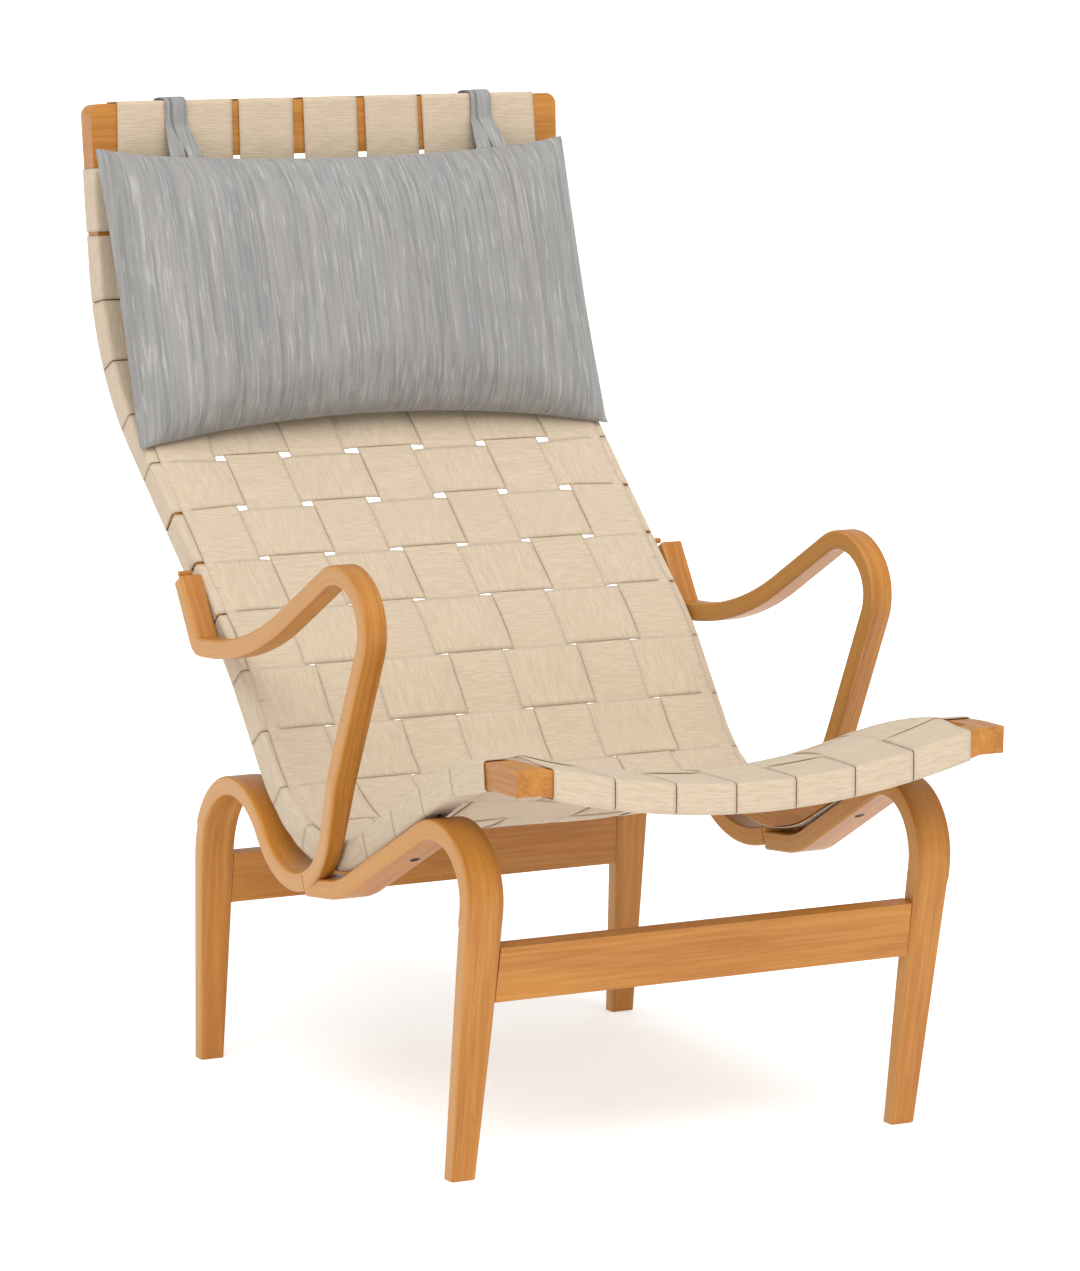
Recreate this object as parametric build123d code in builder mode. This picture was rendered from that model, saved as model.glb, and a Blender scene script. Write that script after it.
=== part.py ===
from build123d import *
from math import asin, cos, radians, sin, tan
import os

# Easy chair: bent side frames carry a bent seat and back frame covered with woven webbing.
# Millimetres and degrees. The sitter faces -Y, +X is the sitter's left, the floor is z = 0.

# Seat and back frame, as runs between bends from the front edge to the top
FRONT_Y = -484.0
FRONT_Z = 406.4
NOSE_RUN = 100.4
SEAT_RUN = 398.7
LUMBAR_RUN = 265.1
BACK_RUN = 415.8
HEAD_RUN = 276.3
SEAT_SLOPE = 27.0
LUMBAR_LEAN = 38.0
BACK_LEAN = 49.0
HEAD_LEAN = 4.3
NOSE_RADIUS = 300.0
VALLEY_RADIUS = 179.4
LUMBAR_RADIUS = 350.0
HEAD_RADIUS = 250.0
RAIL_THICKNESS = 26.0
RAIL_WIDTH = 27.0
FRAME_HALF_WIDTH = 253.5
FRAME_FLARE = 1.35
TOP_RAIL_HEIGHT = 58.0
TOP_CORNER_RADIUS = 12.0
FRONT_RAIL_DEPTH = 26.0
FRONT_DISH = 33.0

# Webbing
LANE_GAP = 4.4
ROW_WIDTH = 60.0
GATHERED_WIDTH = 52.0
GATHERED_ROWS = (4, 5, 6, 7)
STRAP_THICKNESS = 1.2
STRAP_GAP = 1.2
STRAP_EASE = 2.0
WRAP_CLEARANCE = 1.0
LANE_COUNT = 7
CROSS_COUNT = 18
CROSS_START = 95.5
CROSS_PITCH = 70.4
FRONT_PITCH = 0.254 * FRAME_HALF_WIDTH
SEAT_PITCH = 0.294 * FRAME_HALF_WIDTH
BACK_PITCH = 0.302 * FRAME_HALF_WIDTH
TOP_PITCH = 0.285 * FRAME_HALF_WIDTH
SEAT_STATION = 450.0
BACK_STATION = 980.0
DISH_FADE = 420.0
RAIL_WRAP = 24.0
FRONT_WRAP = 20.0
TOP_WRAP = 34.0

# Bent side frames: one strip thickness, thinner and narrower towards the feet
STRIP_THICKNESS = 19.5
FOOT_THICKNESS = 18.0
TAPER_Z = 250.0
KNEE_INNER = FRAME_HALF_WIDTH - 28.5
KNEE_OUTER = KNEE_INNER + 39.0
FOOT_INNER = KNEE_INNER + 6.0
FOOT_OUTER = FOOT_INNER + 26.0
VALLEY_INNER = FRAME_HALF_WIDTH - 10.5
VALLEY_OUTER = VALLEY_INNER + 37.0

# Front legs with their bows under the seat
FRONT_FOOT_Y = -330.0
FRONT_LEG_LEAN = 10.65
FRONT_KNEE_RADIUS = 60.0
BOW_CLEARANCE = 0.4
BOW_OPENING = 0.65
BOW_BEND_Y = -133.0
BOW_BEND_RADIUS = 110.0
BOW_END_SLOPE = 6.0
BOW_END_RUN = 67.4

# Arms and rear legs, one line of runs from the tab down to the rear foot
TAB_Y = 206.5
TAB_Z = 512.0
TAB_RUN = 76.3
TAB_LEAN = 33.0
TAB_RADIUS = 12.0
REST_RUN = 120.0
REST_SLOPE = 3.0
REST_RADIUS = 430.0
ARM_RUN = 252.8
ARM_SLOPE = 28.6
ARM_TOP_RADIUS = 60.0
ARM_NOSE_RUN = 78.1
ARM_NOSE_SLOPE = 45.0
ARM_NOSE_RADIUS = 45.0
POST_RUN = 402.5
POST_LEAN = 26.3
VALLEY_BOW_RADIUS = 107.0
REAR_BOW_RUN = 383.8
REAR_BOW_SLOPE = 47.0
REAR_KNEE_RADIUS = 100.0
REAR_LEG_LEAN = 5.0
ARM_WIDTH = 24.6
ARM_CLEARANCE = 0.5
POST_NOTCH_Z = 253.0
POST_NOTCH_RISE = 3.0
POST_STRAIGHT_Z = 360.0
SCARF_Y = -62.0

# Stretchers between the legs
FRONT_STRETCHER_Z = 206.0
FRONT_STRETCHER_HEIGHT = 54.0
REAR_STRETCHER_Z = 194.0
REAR_STRETCHER_HEIGHT = 52.0
STRETCHER_THICKNESS = 16.0

# Hidden dowels, and the screws that hold the side rails on the bows
DOWEL_RADIUS = 3.0
DOWEL_LENGTH = 32.0
RAIL_DOWEL_SPACING = 12.0
STRETCHER_DOWEL_SPACING = 28.0
FIT = 0.05
SCREW_RADIUS = 2.5
SCREW_HEAD_RADIUS = 5.0
SCREW_HEAD_HEIGHT = 2.5
SCREW_BITE = 17.0
SCREW_GAPS = (2, 3)
TAB_GAP = 11

# Head pillow and its loops
PILLOW_WIDTH = 548.0
PILLOW_HEIGHT = 300.0
PILLOW_FRONT_CROWN = 54.0
PILLOW_BACK_CROWN = 44.0
PILLOW_HEM = 2.0
PILLOW_LEAN = 15.0
PILLOW_Y = 385.2
PILLOW_Z = 790.0
PILLOW_EDGE_SAG = 6.0
PILLOW_SIDE_DRAW = 10.0
LOOP_X = 0.33 * PILLOW_WIDTH
LOOP_WIDTH = 18.0
LOOP_THICKNESS = 1.6
LOOP_TAIL = 46.0
LOOP_CLEARANCE = 0.8
HEM_CLEARANCE = 1.3

os.makedirs("parts", exist_ok=True)

ACROSS = Vector(1, 0, 0)
FLARE = tan(radians(FRAME_FLARE))
HALF_RAIL = RAIL_THICKNESS / 2
REACH = FRAME_HALF_WIDTH + RAIL_WIDTH + PILLOW_WIDTH / 2


def step(corner, length, angle):
    """The point at a length from a (y, z) corner, along a heading above +Y."""
    return (corner[0] + length * cos(radians(angle)), corner[1] + length * sin(radians(angle)))


def walk(start, *runs):
    """The corners reached from a start by runs of (length, heading)."""
    corners = [start]
    for length, angle in runs:
        corners.append(step(corners[-1], length, angle))
    return corners


def blend(value, low, high):
    """A straight change from low = (at, size) to high = (at, size), held past both ends."""
    share = min(max((value - low[0]) / (high[0] - low[0]), 0), 1)
    return low[1] + (high[1] - low[1]) * share


def meet(first, first_heading, second, second_heading):
    """The point where two lines of the side view cross, each a point and a heading."""
    u = (cos(radians(first_heading)), sin(radians(first_heading)))
    v = (cos(radians(second_heading)), sin(radians(second_heading)))
    gap = (second[0] - first[0], second[1] - first[1])
    length = (gap[0] * v[1] - gap[1] * v[0]) / (u[0] * v[1] - u[1] * v[0])
    return (first[0] + u[0] * length, first[1] + u[1] * length)


def frame_half_width(z):
    """Half the outer width of the flared seat and back frame at a height."""
    return FRAME_HALF_WIDTH + FLARE * z


def finish(piece, label):
    """Name a finished piece and write its file."""
    piece.label = label
    export_step(piece, f"parts/{label}.step")


def finish_pair(builder, label):
    """Write the left piece and its mirror image on the right."""
    finish(builder.part, f"{label}_left")
    with BuildPart() as other:
        mirror(builder.part, about=Plane.YZ)
    finish(other.part, f"{label}_right")


# The centre line of the seat and back frame
FRAME_RUNS = (
    (NOSE_RUN, 0),
    (SEAT_RUN, -SEAT_SLOPE),
    (LUMBAR_RUN, 90 - LUMBAR_LEAN),
    (BACK_RUN, 90 - BACK_LEAN),
    (HEAD_RUN, 90 - HEAD_LEAN),
)
FRAME_RADII = (NOSE_RADIUS, VALLEY_RADIUS, LUMBAR_RADIUS, HEAD_RADIUS)
frame_corners = walk((FRONT_Y, FRONT_Z), *FRAME_RUNS)
with BuildLine(Plane.YZ) as frame_line:
    FilletPolyline(*frame_corners, radius=FRAME_RADII)
frame_path = frame_line.wire()
FRAME_LENGTH = frame_path.length
TOP_HEADING = Vector(0, sin(radians(HEAD_LEAN)), cos(radians(HEAD_LEAN)))
outer_plane = Plane(
    origin=(FRAME_HALF_WIDTH, 0, 0),
    x_dir=(0, 1, 0),
    z_dir=(cos(radians(FRAME_FLARE)), 0, -sin(radians(FRAME_FLARE))),
)
right_outer_plane = Plane(
    origin=(-FRAME_HALF_WIDTH, 0, 0),
    x_dir=(0, 1, 0),
    z_dir=(-cos(radians(FRAME_FLARE)), 0, -sin(radians(FRAME_FLARE))),
)
inner_plane = outer_plane.offset(-RAIL_WIDTH)
neck = Vector(0, *frame_corners[-1]) - TOP_HEADING * TOP_RAIL_HEIGHT
crown = Vector(0, *frame_corners[-1])


def frame_point(s, level):
    """A point at arc length s of the frame, a level in front of its centre line."""
    inside = min(max(s, 0), FRAME_LENGTH)
    along = frame_path.tangent_at(inside, position_mode=PositionMode.LENGTH)
    place = frame_path.position_at(inside, position_mode=PositionMode.LENGTH)
    return place + along * (s - inside) + ACROSS.cross(along) * level


# Gaps between the crosswise straps, where dowels and screws pass
def strap_gap(index):
    """The arc length at the middle of the gap before a crosswise strap."""
    return CROSS_START + (index - 0.5) * CROSS_PITCH


def side_by_side(plane, spacing):
    """Two planes spaced along the x direction of one."""
    shifts = [plane.x_dir * spacing / 2, plane.x_dir * -spacing / 2]
    return [Plane(plane.origin + shift, x_dir=plane.x_dir, z_dir=plane.z_dir) for shift in shifts]


front_rail_reach = frame_half_width(FRONT_Z) - RAIL_WIDTH
dish_reach = front_rail_reach + FLARE * HALF_RAIL
neck_x = frame_half_width(neck.Z) - RAIL_WIDTH / 2
wrap = WRAP_CLEARANCE + STRAP_THICKNESS
bow_drop = HALF_RAIL + wrap + BOW_CLEARANCE
bow_slope = SEAT_SLOPE + BOW_OPENING
bow_under = step(frame_corners[1], bow_drop + STRIP_THICKNESS, -90 - SEAT_SLOPE)
screw_length = STRIP_THICKNESS + bow_drop - HALF_RAIL + SCREW_BITE


def front_dowels(side):
    """The places of the dowels in a joint of the front rail, on the side of the sign."""
    place = (side * front_rail_reach, FRONT_Y + FRONT_RAIL_DEPTH / 2, FRONT_Z)
    return side_by_side(Plane(place, x_dir=(0, 1, 0), z_dir=(side, 0, 0)), RAIL_DOWEL_SPACING)


def top_dowels(side):
    """The places of the dowels in a joint of the top rail."""
    place = neck + ACROSS * (side * neck_x)
    return side_by_side(Plane(place, x_dir=(1, 0, 0), z_dir=TOP_HEADING), RAIL_DOWEL_SPACING)


def tab_dowels(side):
    """The place of the dowel between an arm's tab and the side rail."""
    place = frame_point(strap_gap(TAB_GAP), 0)
    x = frame_half_width(place.Z)
    return [Plane(place + ACROSS * (side * x), x_dir=(0, 1, 0), z_dir=(side, 0, 0))]


def screw_seats(side):
    """The planes of the screw heads on the underside of a bow, facing into the wood."""
    seats = []
    drive = (0, sin(radians(bow_slope)), cos(radians(bow_slope)))
    for gap in SCREW_GAPS:
        rail = frame_point(strap_gap(gap), 0)
        y, z = meet(bow_under, -bow_slope, (rail.Y, rail.Z), 90 - bow_slope)
        x = frame_half_width(rail.Z) - RAIL_WIDTH / 2
        seats.append(Plane((side * x, y, z), x_dir=(1, 0, 0), z_dir=drive))
    return seats


def dowels(planes, clearance=0.0, mode=Mode.ADD):
    """Dowels that sit half in each of two pieces, or their holes."""
    for plane in planes:
        with Locations(plane):
            Cylinder(DOWEL_RADIUS + clearance, DOWEL_LENGTH + 2 * clearance, mode=mode)


def screws(side, clearance=0.0, mode=Mode.ADD):
    """The countersunk screws of one bow, or their holes."""
    for seat in screw_seats(side):
        with Locations(seat.offset(screw_length / 2)):
            Cylinder(SCREW_RADIUS + clearance, screw_length + 2 * clearance, mode=mode)
        with Locations(seat.offset(SCREW_HEAD_HEIGHT / 2)):
            Cone(
                SCREW_HEAD_RADIUS + clearance,
                SCREW_RADIUS + clearance,
                SCREW_HEAD_HEIGHT,
                mode=mode,
            )


# Side rails
with BuildPart() as side_rail:
    with BuildSketch(Plane.YZ):
        with BuildLine():
            FilletPolyline(*frame_corners[:-1], (neck.Y, neck.Z), radius=FRAME_RADII)
        trace(line_width=RAIL_THICKNESS)
    extrude(amount=REACH)
    split(bisect_by=outer_plane, keep=Keep.BOTTOM)
    split(bisect_by=inner_plane, keep=Keep.TOP)
    dowels(front_dowels(1) + top_dowels(1) + tab_dowels(1), FIT, Mode.SUBTRACT)
    screws(1, FIT, Mode.SUBTRACT)
finish_pair(side_rail, "side_rail")

# Top rail across both side rails
with BuildPart() as top_rail:
    with BuildSketch(Plane.YZ.offset(-REACH)):
        with BuildLine():
            Line((neck.Y, neck.Z), (crown.Y, crown.Z))
        trace(line_width=RAIL_THICKNESS)
    extrude(amount=2 * REACH)
    split(bisect_by=outer_plane, keep=Keep.BOTTOM)
    split(bisect_by=right_outer_plane, keep=Keep.BOTTOM)
    ends = top_rail.faces().sort_by(Axis.X)
    top_corners = [end.edges().sort_by(Axis.Z)[-1] for end in (ends[0], ends[-1])]
    fillet(top_corners, TOP_CORNER_RADIUS)
    dowels(top_dowels(1) + top_dowels(-1), FIT, Mode.SUBTRACT)
finish(top_rail.part, "top_rail")

# Dished front rail between the side rails
with BuildPart() as front_rail:
    with BuildSketch(Plane.XZ.offset(-FRONT_Y - FRONT_RAIL_DEPTH)):
        with BuildLine():
            for edge_z in (FRONT_Z + HALF_RAIL, FRONT_Z - HALF_RAIL):
                ThreePointArc((-dish_reach, edge_z), (0, edge_z - FRONT_DISH), (dish_reach, edge_z))
            for end_x in (-dish_reach, dish_reach):
                Line((end_x, FRONT_Z - HALF_RAIL), (end_x, FRONT_Z + HALF_RAIL))
        make_face()
    extrude(amount=FRONT_RAIL_DEPTH)
    split(bisect_by=inner_plane, keep=Keep.BOTTOM)
    split(bisect_by=right_outer_plane.offset(-RAIL_WIDTH), keep=Keep.BOTTOM)
    dowels(front_dowels(1) + front_dowels(-1), FIT, Mode.SUBTRACT)
finish(front_rail.part, "front_rail")


# The line of the front legs: up from the foot, round the knee and back under the seat
def leg_centre(foot_y, lean, z):
    """The y of a leg's centre line at a height, for a lean forward of vertical."""
    return foot_y - z * tan(radians(lean))


def leg_side(x_foot, x_knee):
    """The plane of a leg's tapering side, facing away from the middle of the chair."""
    rise = Vector(x_knee - x_foot, 0, TAPER_Z)
    return Plane(origin=(x_foot, 0, 0), x_dir=(0, 1, 0), z_dir=Vector(0, 1, 0).cross(rise))


def taper_leg(foot_y, lean, thin_side):
    """Cut a leg thinner on one face, and narrower on both sides, from the taper down."""
    half = STRIP_THICKNESS / 2 / cos(radians(lean))
    face = thin_side * half
    foot_face = foot_y - thin_side * (half - FOOT_THICKNESS)
    with BuildSketch(Plane.YZ) as wedge:
        with BuildLine():
            Polyline(
                (leg_centre(foot_y, lean, TAPER_Z) + face, TAPER_Z),
                (foot_face, 0),
                (foot_y + 2 * face, 0),
                (leg_centre(foot_y, lean, TAPER_Z) + 2 * face, TAPER_Z),
                close=True,
            )
        make_face()
    extrude(wedge.sketch, amount=REACH, mode=Mode.SUBTRACT)
    reach_y = 2 * STRIP_THICKNESS + TAPER_Z * abs(tan(radians(lean)))
    for foot_x, knee_x, far_x in (
        (FOOT_INNER, KNEE_INNER, KNEE_INNER - STRIP_THICKNESS),
        (FOOT_OUTER, KNEE_OUTER, KNEE_OUTER + STRIP_THICKNESS),
    ):
        with BuildSketch(Plane.XZ.offset(-foot_y)) as wedge:
            with BuildLine():
                Polyline((foot_x, 0), (knee_x, TAPER_Z), (far_x, TAPER_Z), (far_x, 0), close=True)
            make_face()
        extrude(wedge.sketch, amount=reach_y, both=True, mode=Mode.SUBTRACT)


def drift(knee_y, valley_y):
    """Keep a bow between its sides, which drift outwards from the knee to the valley."""
    far_y = 2 * knee_y - valley_y
    with BuildSketch(Plane.XY) as plan:
        with BuildLine():
            Polyline(
                (KNEE_INNER, far_y),
                (KNEE_INNER, knee_y),
                (VALLEY_INNER, valley_y),
                (VALLEY_OUTER, valley_y),
                (KNEE_OUTER, knee_y),
                (KNEE_OUTER, far_y),
                close=True,
            )
        make_face()
    extrude(plan.sketch, amount=POST_STRAIGHT_Z, mode=Mode.INTERSECT)


bow_start = step(bow_under, STRIP_THICKNESS / 2, 90 - bow_slope)
front_foot = (FRONT_FOOT_Y, 0)
front_knee = meet(front_foot, 90 + FRONT_LEG_LEAN, bow_start, -bow_slope)
bow_bend = meet(bow_start, -bow_slope, (BOW_BEND_Y, 0), 90)
bow_end = step(bow_bend, BOW_END_RUN, -BOW_END_SLOPE)
front_sole = step(front_foot, STRIP_THICKNESS, -90 + FRONT_LEG_LEAN)

# The line of the arms and rear legs: tab, arm, post, valley, rear bow and rear leg
side_corners = walk(
    (TAB_Y, TAB_Z),
    (TAB_RUN, -90 - TAB_LEAN),
    (REST_RUN, 180 - REST_SLOPE),
    (ARM_RUN, 180 - ARM_SLOPE),
    (ARM_NOSE_RUN, 180 + ARM_NOSE_SLOPE),
    (POST_RUN, -90 + POST_LEAN),
    (REAR_BOW_RUN, REAR_BOW_SLOPE),
)
SIDE_RADII = (
    TAB_RADIUS,
    REST_RADIUS,
    ARM_TOP_RADIUS,
    ARM_NOSE_RADIUS,
    VALLEY_BOW_RADIUS,
    REAR_KNEE_RADIUS,
)
rear_heading = -90 + REAR_LEG_LEAN
rear_foot = meet(side_corners[-1], rear_heading, (0, 0), 0)
rear_sole = step(rear_foot, STRIP_THICKNESS, rear_heading)
with BuildPart() as side_strip:
    with BuildSketch(Plane.YZ):
        with BuildLine():
            FilletPolyline(*side_corners, rear_sole, radius=SIDE_RADII)
        trace(line_width=STRIP_THICKNESS)
    extrude(amount=REACH)
    split(bisect_by=Plane.XY, keep=Keep.TOP)

# The scarf between an arm and a rear leg crosses the strip where the valley begins to rise
valley_inset_post = step(side_corners[5], VALLEY_BOW_RADIUS, POST_LEAN)
valley_inset_bow = step(side_corners[5], VALLEY_BOW_RADIUS, REAR_BOW_SLOPE + 90)
valley_centre = meet(valley_inset_post, -90 + POST_LEAN, valley_inset_bow, REAR_BOW_SLOPE)
scarf_turn = asin((valley_centre[0] - SCARF_Y) / VALLEY_BOW_RADIUS)
scarf_plane = Plane(
    origin=(0, SCARF_Y, valley_centre[1] - VALLEY_BOW_RADIUS * cos(scarf_turn)),
    x_dir=(1, 0, 0),
    z_dir=(0, -cos(scarf_turn), sin(scarf_turn)),
)
with BuildPart() as rear_strip:
    add(side_strip.part)
    split(bisect_by=Plane.XY.offset(POST_STRAIGHT_Z), keep=Keep.BOTTOM)
    split(bisect_by=scarf_plane, keep=Keep.BOTTOM)


# Stretchers run between the legs, in line with them
def stretcher_joint(foot_y, lean, z, side):
    """The places of the dowels between a stretcher and a leg."""
    x = blend(z, (0, FOOT_INNER), (TAPER_Z, KNEE_INNER))
    place = (side * x, leg_centre(foot_y, lean, z), z)
    plane = Plane(place, x_dir=(0, -sin(radians(lean)), cos(radians(lean))), z_dir=(side, 0, 0))
    return side_by_side(plane, STRETCHER_DOWEL_SPACING)


def front_joint(side):
    """The places of the dowels of the front stretcher, on the side of the sign."""
    return stretcher_joint(FRONT_FOOT_Y, FRONT_LEG_LEAN, FRONT_STRETCHER_Z, side)


def rear_joint(side):
    """The places of the dowels of the rear stretcher, on the side of the sign."""
    return stretcher_joint(rear_foot[0], REAR_LEG_LEAN, REAR_STRETCHER_Z, side)


def stretcher(foot_y, lean, z, height):
    """A board between two legs, centred on their lines and cut to their inner sides."""
    with BuildSketch(Plane.YZ.offset(-REACH)) as section:
        with BuildLine():
            Line(
                (leg_centre(foot_y, lean, z - height / 2), z - height / 2),
                (leg_centre(foot_y, lean, z + height / 2), z + height / 2),
            )
        trace(line_width=STRETCHER_THICKNESS)
    extrude(section.sketch, amount=2 * REACH)
    split(bisect_by=leg_side(FOOT_INNER, KNEE_INNER), keep=Keep.BOTTOM)
    split(bisect_by=leg_side(-FOOT_INNER, -KNEE_INNER), keep=Keep.TOP)


with BuildPart() as front_stretcher:
    stretcher(FRONT_FOOT_Y, FRONT_LEG_LEAN, FRONT_STRETCHER_Z, FRONT_STRETCHER_HEIGHT)
    dowels(front_joint(1) + front_joint(-1), FIT, Mode.SUBTRACT)
finish(front_stretcher.part, "front_stretcher")

with BuildPart() as rear_stretcher:
    stretcher(rear_foot[0], REAR_LEG_LEAN, REAR_STRETCHER_Z, REAR_STRETCHER_HEIGHT)
    dowels(rear_joint(1) + rear_joint(-1), FIT, Mode.SUBTRACT)
finish(rear_stretcher.part, "rear_stretcher")

# Front legs: leg, knee and bow, ending on the face of the valley bow
with BuildPart() as front_leg:
    with BuildSketch(Plane.YZ):
        with BuildLine():
            FilletPolyline(
                front_sole,
                front_knee,
                bow_bend,
                bow_end,
                radius=(FRONT_KNEE_RADIUS, BOW_BEND_RADIUS),
            )
        trace(line_width=STRIP_THICKNESS)
    extrude(amount=REACH)
    split(bisect_by=Plane.XY, keep=Keep.TOP)
    add(side_strip.part, mode=Mode.SUBTRACT)
    drift(front_knee[0], SCARF_Y)
    taper_leg(FRONT_FOOT_Y, FRONT_LEG_LEAN, 1)
    dowels(front_joint(1), FIT, Mode.SUBTRACT)
    screws(1, FIT, Mode.SUBTRACT)
finish_pair(front_leg, "front_leg")

# Rear legs: leg, knee and bow down to the scarf
with BuildPart() as rear_leg:
    add(rear_strip.part)
    drift(rear_foot[0], SCARF_Y)
    taper_leg(rear_foot[0], REAR_LEG_LEAN, -1)
    dowels(rear_joint(1), FIT, Mode.SUBTRACT)
finish_pair(rear_leg, "rear_leg")

# Arms: post, arm and tab, set outside the wrapped side rail above the notch
arm_inner = frame_half_width(TAB_Z) + wrap + ARM_CLEARANCE
post_inner = frame_half_width(POST_STRAIGHT_Z) + wrap + ARM_CLEARANCE
with BuildPart() as arm:
    add(side_strip.part)
    add(rear_strip.part, mode=Mode.SUBTRACT)
    with BuildSketch(Plane.XZ):
        with BuildLine():
            Polyline(
                (VALLEY_INNER, 0),
                (VALLEY_INNER, POST_NOTCH_Z),
                (post_inner, POST_NOTCH_Z + POST_NOTCH_RISE),
                (arm_inner, POST_STRAIGHT_Z),
                (arm_inner, TAB_Z + TAB_RUN),
                (arm_inner + ARM_WIDTH, TAB_Z + TAB_RUN),
                (arm_inner + ARM_WIDTH, POST_STRAIGHT_Z),
                (VALLEY_OUTER, scarf_plane.origin.Z),
                (VALLEY_OUTER, 0),
                close=True,
            )
        make_face()
    extrude(amount=REACH, both=True, mode=Mode.INTERSECT)
    dowels(tab_dowels(1), FIT, Mode.SUBTRACT)
finish_pair(arm, "arm")

# Dowels and screws, each kind as one piece set
DOWEL_SETS = {
    "front_rail_dowels": front_dowels,
    "top_rail_dowels": top_dowels,
    "arm_tab_dowels": tab_dowels,
    "front_stretcher_dowels": front_joint,
    "rear_stretcher_dowels": rear_joint,
}
for label, places in DOWEL_SETS.items():
    with BuildPart() as dowel_set:
        dowels(places(1) + places(-1))
    finish(dowel_set.part, label)

with BuildPart() as bow_screws:
    screws(1)
    screws(-1)
finish(bow_screws.part, "bow_screws")


# Webbing: each crossing of two straps is a flat facet, one strap above it and one below
def lane_pitch(s):
    """The spacing of the lengthwise straps at an arc length of the frame."""
    if s < SEAT_STATION:
        return blend(s, (0, FRONT_PITCH), (SEAT_STATION, SEAT_PITCH))
    if s < BACK_STATION:
        return blend(s, (SEAT_STATION, SEAT_PITCH), (BACK_STATION, BACK_PITCH))
    return blend(s, (BACK_STATION, BACK_PITCH), (FRAME_LENGTH, TOP_PITCH))


def dish(s, x):
    """How far the webbing hangs below the rails, following the dished front rail."""
    share = 1 - (x / dish_reach) ** 2
    if share <= 0:
        return 0
    fade_end = FRONT_RAIL_DEPTH + DISH_FADE * share
    return blend(s, (FRONT_RAIL_DEPTH, FRONT_DISH * share), (fade_end, 0))


HALF_LANE = (FRONT_PITCH - LANE_GAP) / 2
LOW_LEVEL = HALF_RAIL + WRAP_CLEARANCE + STRAP_THICKNESS / 2
HALF_STEP = (STRAP_THICKNESS + STRAP_GAP) / 2


def web_point(s, x, level):
    """A point of the webbing at arc length s and distance x from the middle."""
    return frame_point(s, level - dish(s, x)) + ACROSS * x


def half_row(index):
    """Half the width of a crosswise strap, gathered where the frame bends most."""
    return (GATHERED_WIDTH if index in GATHERED_ROWS else ROW_WIDTH) / 2


def facet(index, x, level):
    """A flat patch where a crosswise strap passes, clear of the frame behind it."""
    s = crossings[index]
    start = web_point(s - half_row(index), x, level)
    end = web_point(s + half_row(index), x, level)
    along = (end - start).normalized()
    across = (web_point(s, x + HALF_LANE, level) - web_point(s, x - HALF_LANE, level)).normalized()
    middle = (start + end) / 2
    facing = across.cross(along).normalized() * (1 if level > 0 else -1)
    lift = max((web_point(s, x, level) - middle).dot(facing), 0)
    return Plane(middle + facing * lift, x_dir=across, z_dir=across.cross(along))


def ribbon(points, widths, width, thickness):
    """A flat strap through points, each with the direction of its width, mitred at folds."""
    facings = []
    for start, end, first, last in zip(points, points[1:], widths, widths[1:]):
        facings.append((first + last).cross(end - start).normalized())
    rims = []
    for point, across, before, after in zip(points, widths, facings[:1] + facings, facings + facings[-1:]):
        rise = (before + after) * (thickness / 2 / (1 + before.dot(after)))
        side = across.normalized() * (width / 2)
        rims.append([point + side + rise, point - side + rise, point - side - rise, point + side - rise])
    faces = [Face(Wire.make_polygon(rims[0])), Face(Wire.make_polygon(rims[-1]))]
    for rim, following in zip(rims, rims[1:]):
        corners = list(zip(rim, following))
        for (near, near_end), (far, far_end) in zip(corners, corners[1:] + corners[:1]):
            faces.append(Face(Wire.make_polygon([near, far, far_end])))
            faces.append(Face(Wire.make_polygon([near, far_end, near_end])))
    add(Solid(Shell(faces)))


lanes = range(-(LANE_COUNT // 2), LANE_COUNT // 2 + 1)
crossings = [CROSS_START + CROSS_PITCH * index for index in range(CROSS_COUNT)]
WEB_LEVEL = LOW_LEVEL + HALF_STEP
EDGE = WRAP_CLEARANCE + STRAP_THICKNESS / 2


def lane_strap(lane):
    """A lengthwise strap, round the front rail, through the weave and over the top rail."""
    x = lane * FRONT_PITCH
    tilt = web_point(0, x + HALF_LANE, 0) - web_point(0, x - HALF_LANE, 0)
    points = [
        web_point(FRONT_WRAP, x, -LOW_LEVEL),
        web_point(-EDGE, x, -LOW_LEVEL),
        web_point(-EDGE, x, LOW_LEVEL),
        web_point(FRONT_RAIL_DEPTH, lane * lane_pitch(FRONT_RAIL_DEPTH), LOW_LEVEL),
    ]
    widths = [tilt] * len(points)
    for index, s in enumerate(crossings):
        patch = facet(index, lane * lane_pitch(s), WEB_LEVEL)
        over = HALF_STEP if (lane + index) % 2 == 0 else -HALF_STEP
        reach = half_row(index) + STRAP_EASE
        for end in (-reach, reach):
            shift = lane * (lane_pitch(s + end) - lane_pitch(s))
            points.append(patch.origin + patch.x_dir * shift + patch.y_dir * end + patch.z_dir * over)
            widths.append(patch.x_dir)
    top_x = lane * TOP_PITCH
    points += [
        web_point(FRAME_LENGTH + EDGE, top_x, LOW_LEVEL),
        web_point(FRAME_LENGTH + EDGE, top_x, -LOW_LEVEL),
        web_point(FRAME_LENGTH - TOP_WRAP, top_x, -LOW_LEVEL),
    ]
    widths += [ACROSS] * 3
    ribbon(points, widths, 2 * HALF_LANE, STRAP_THICKNESS)


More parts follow.
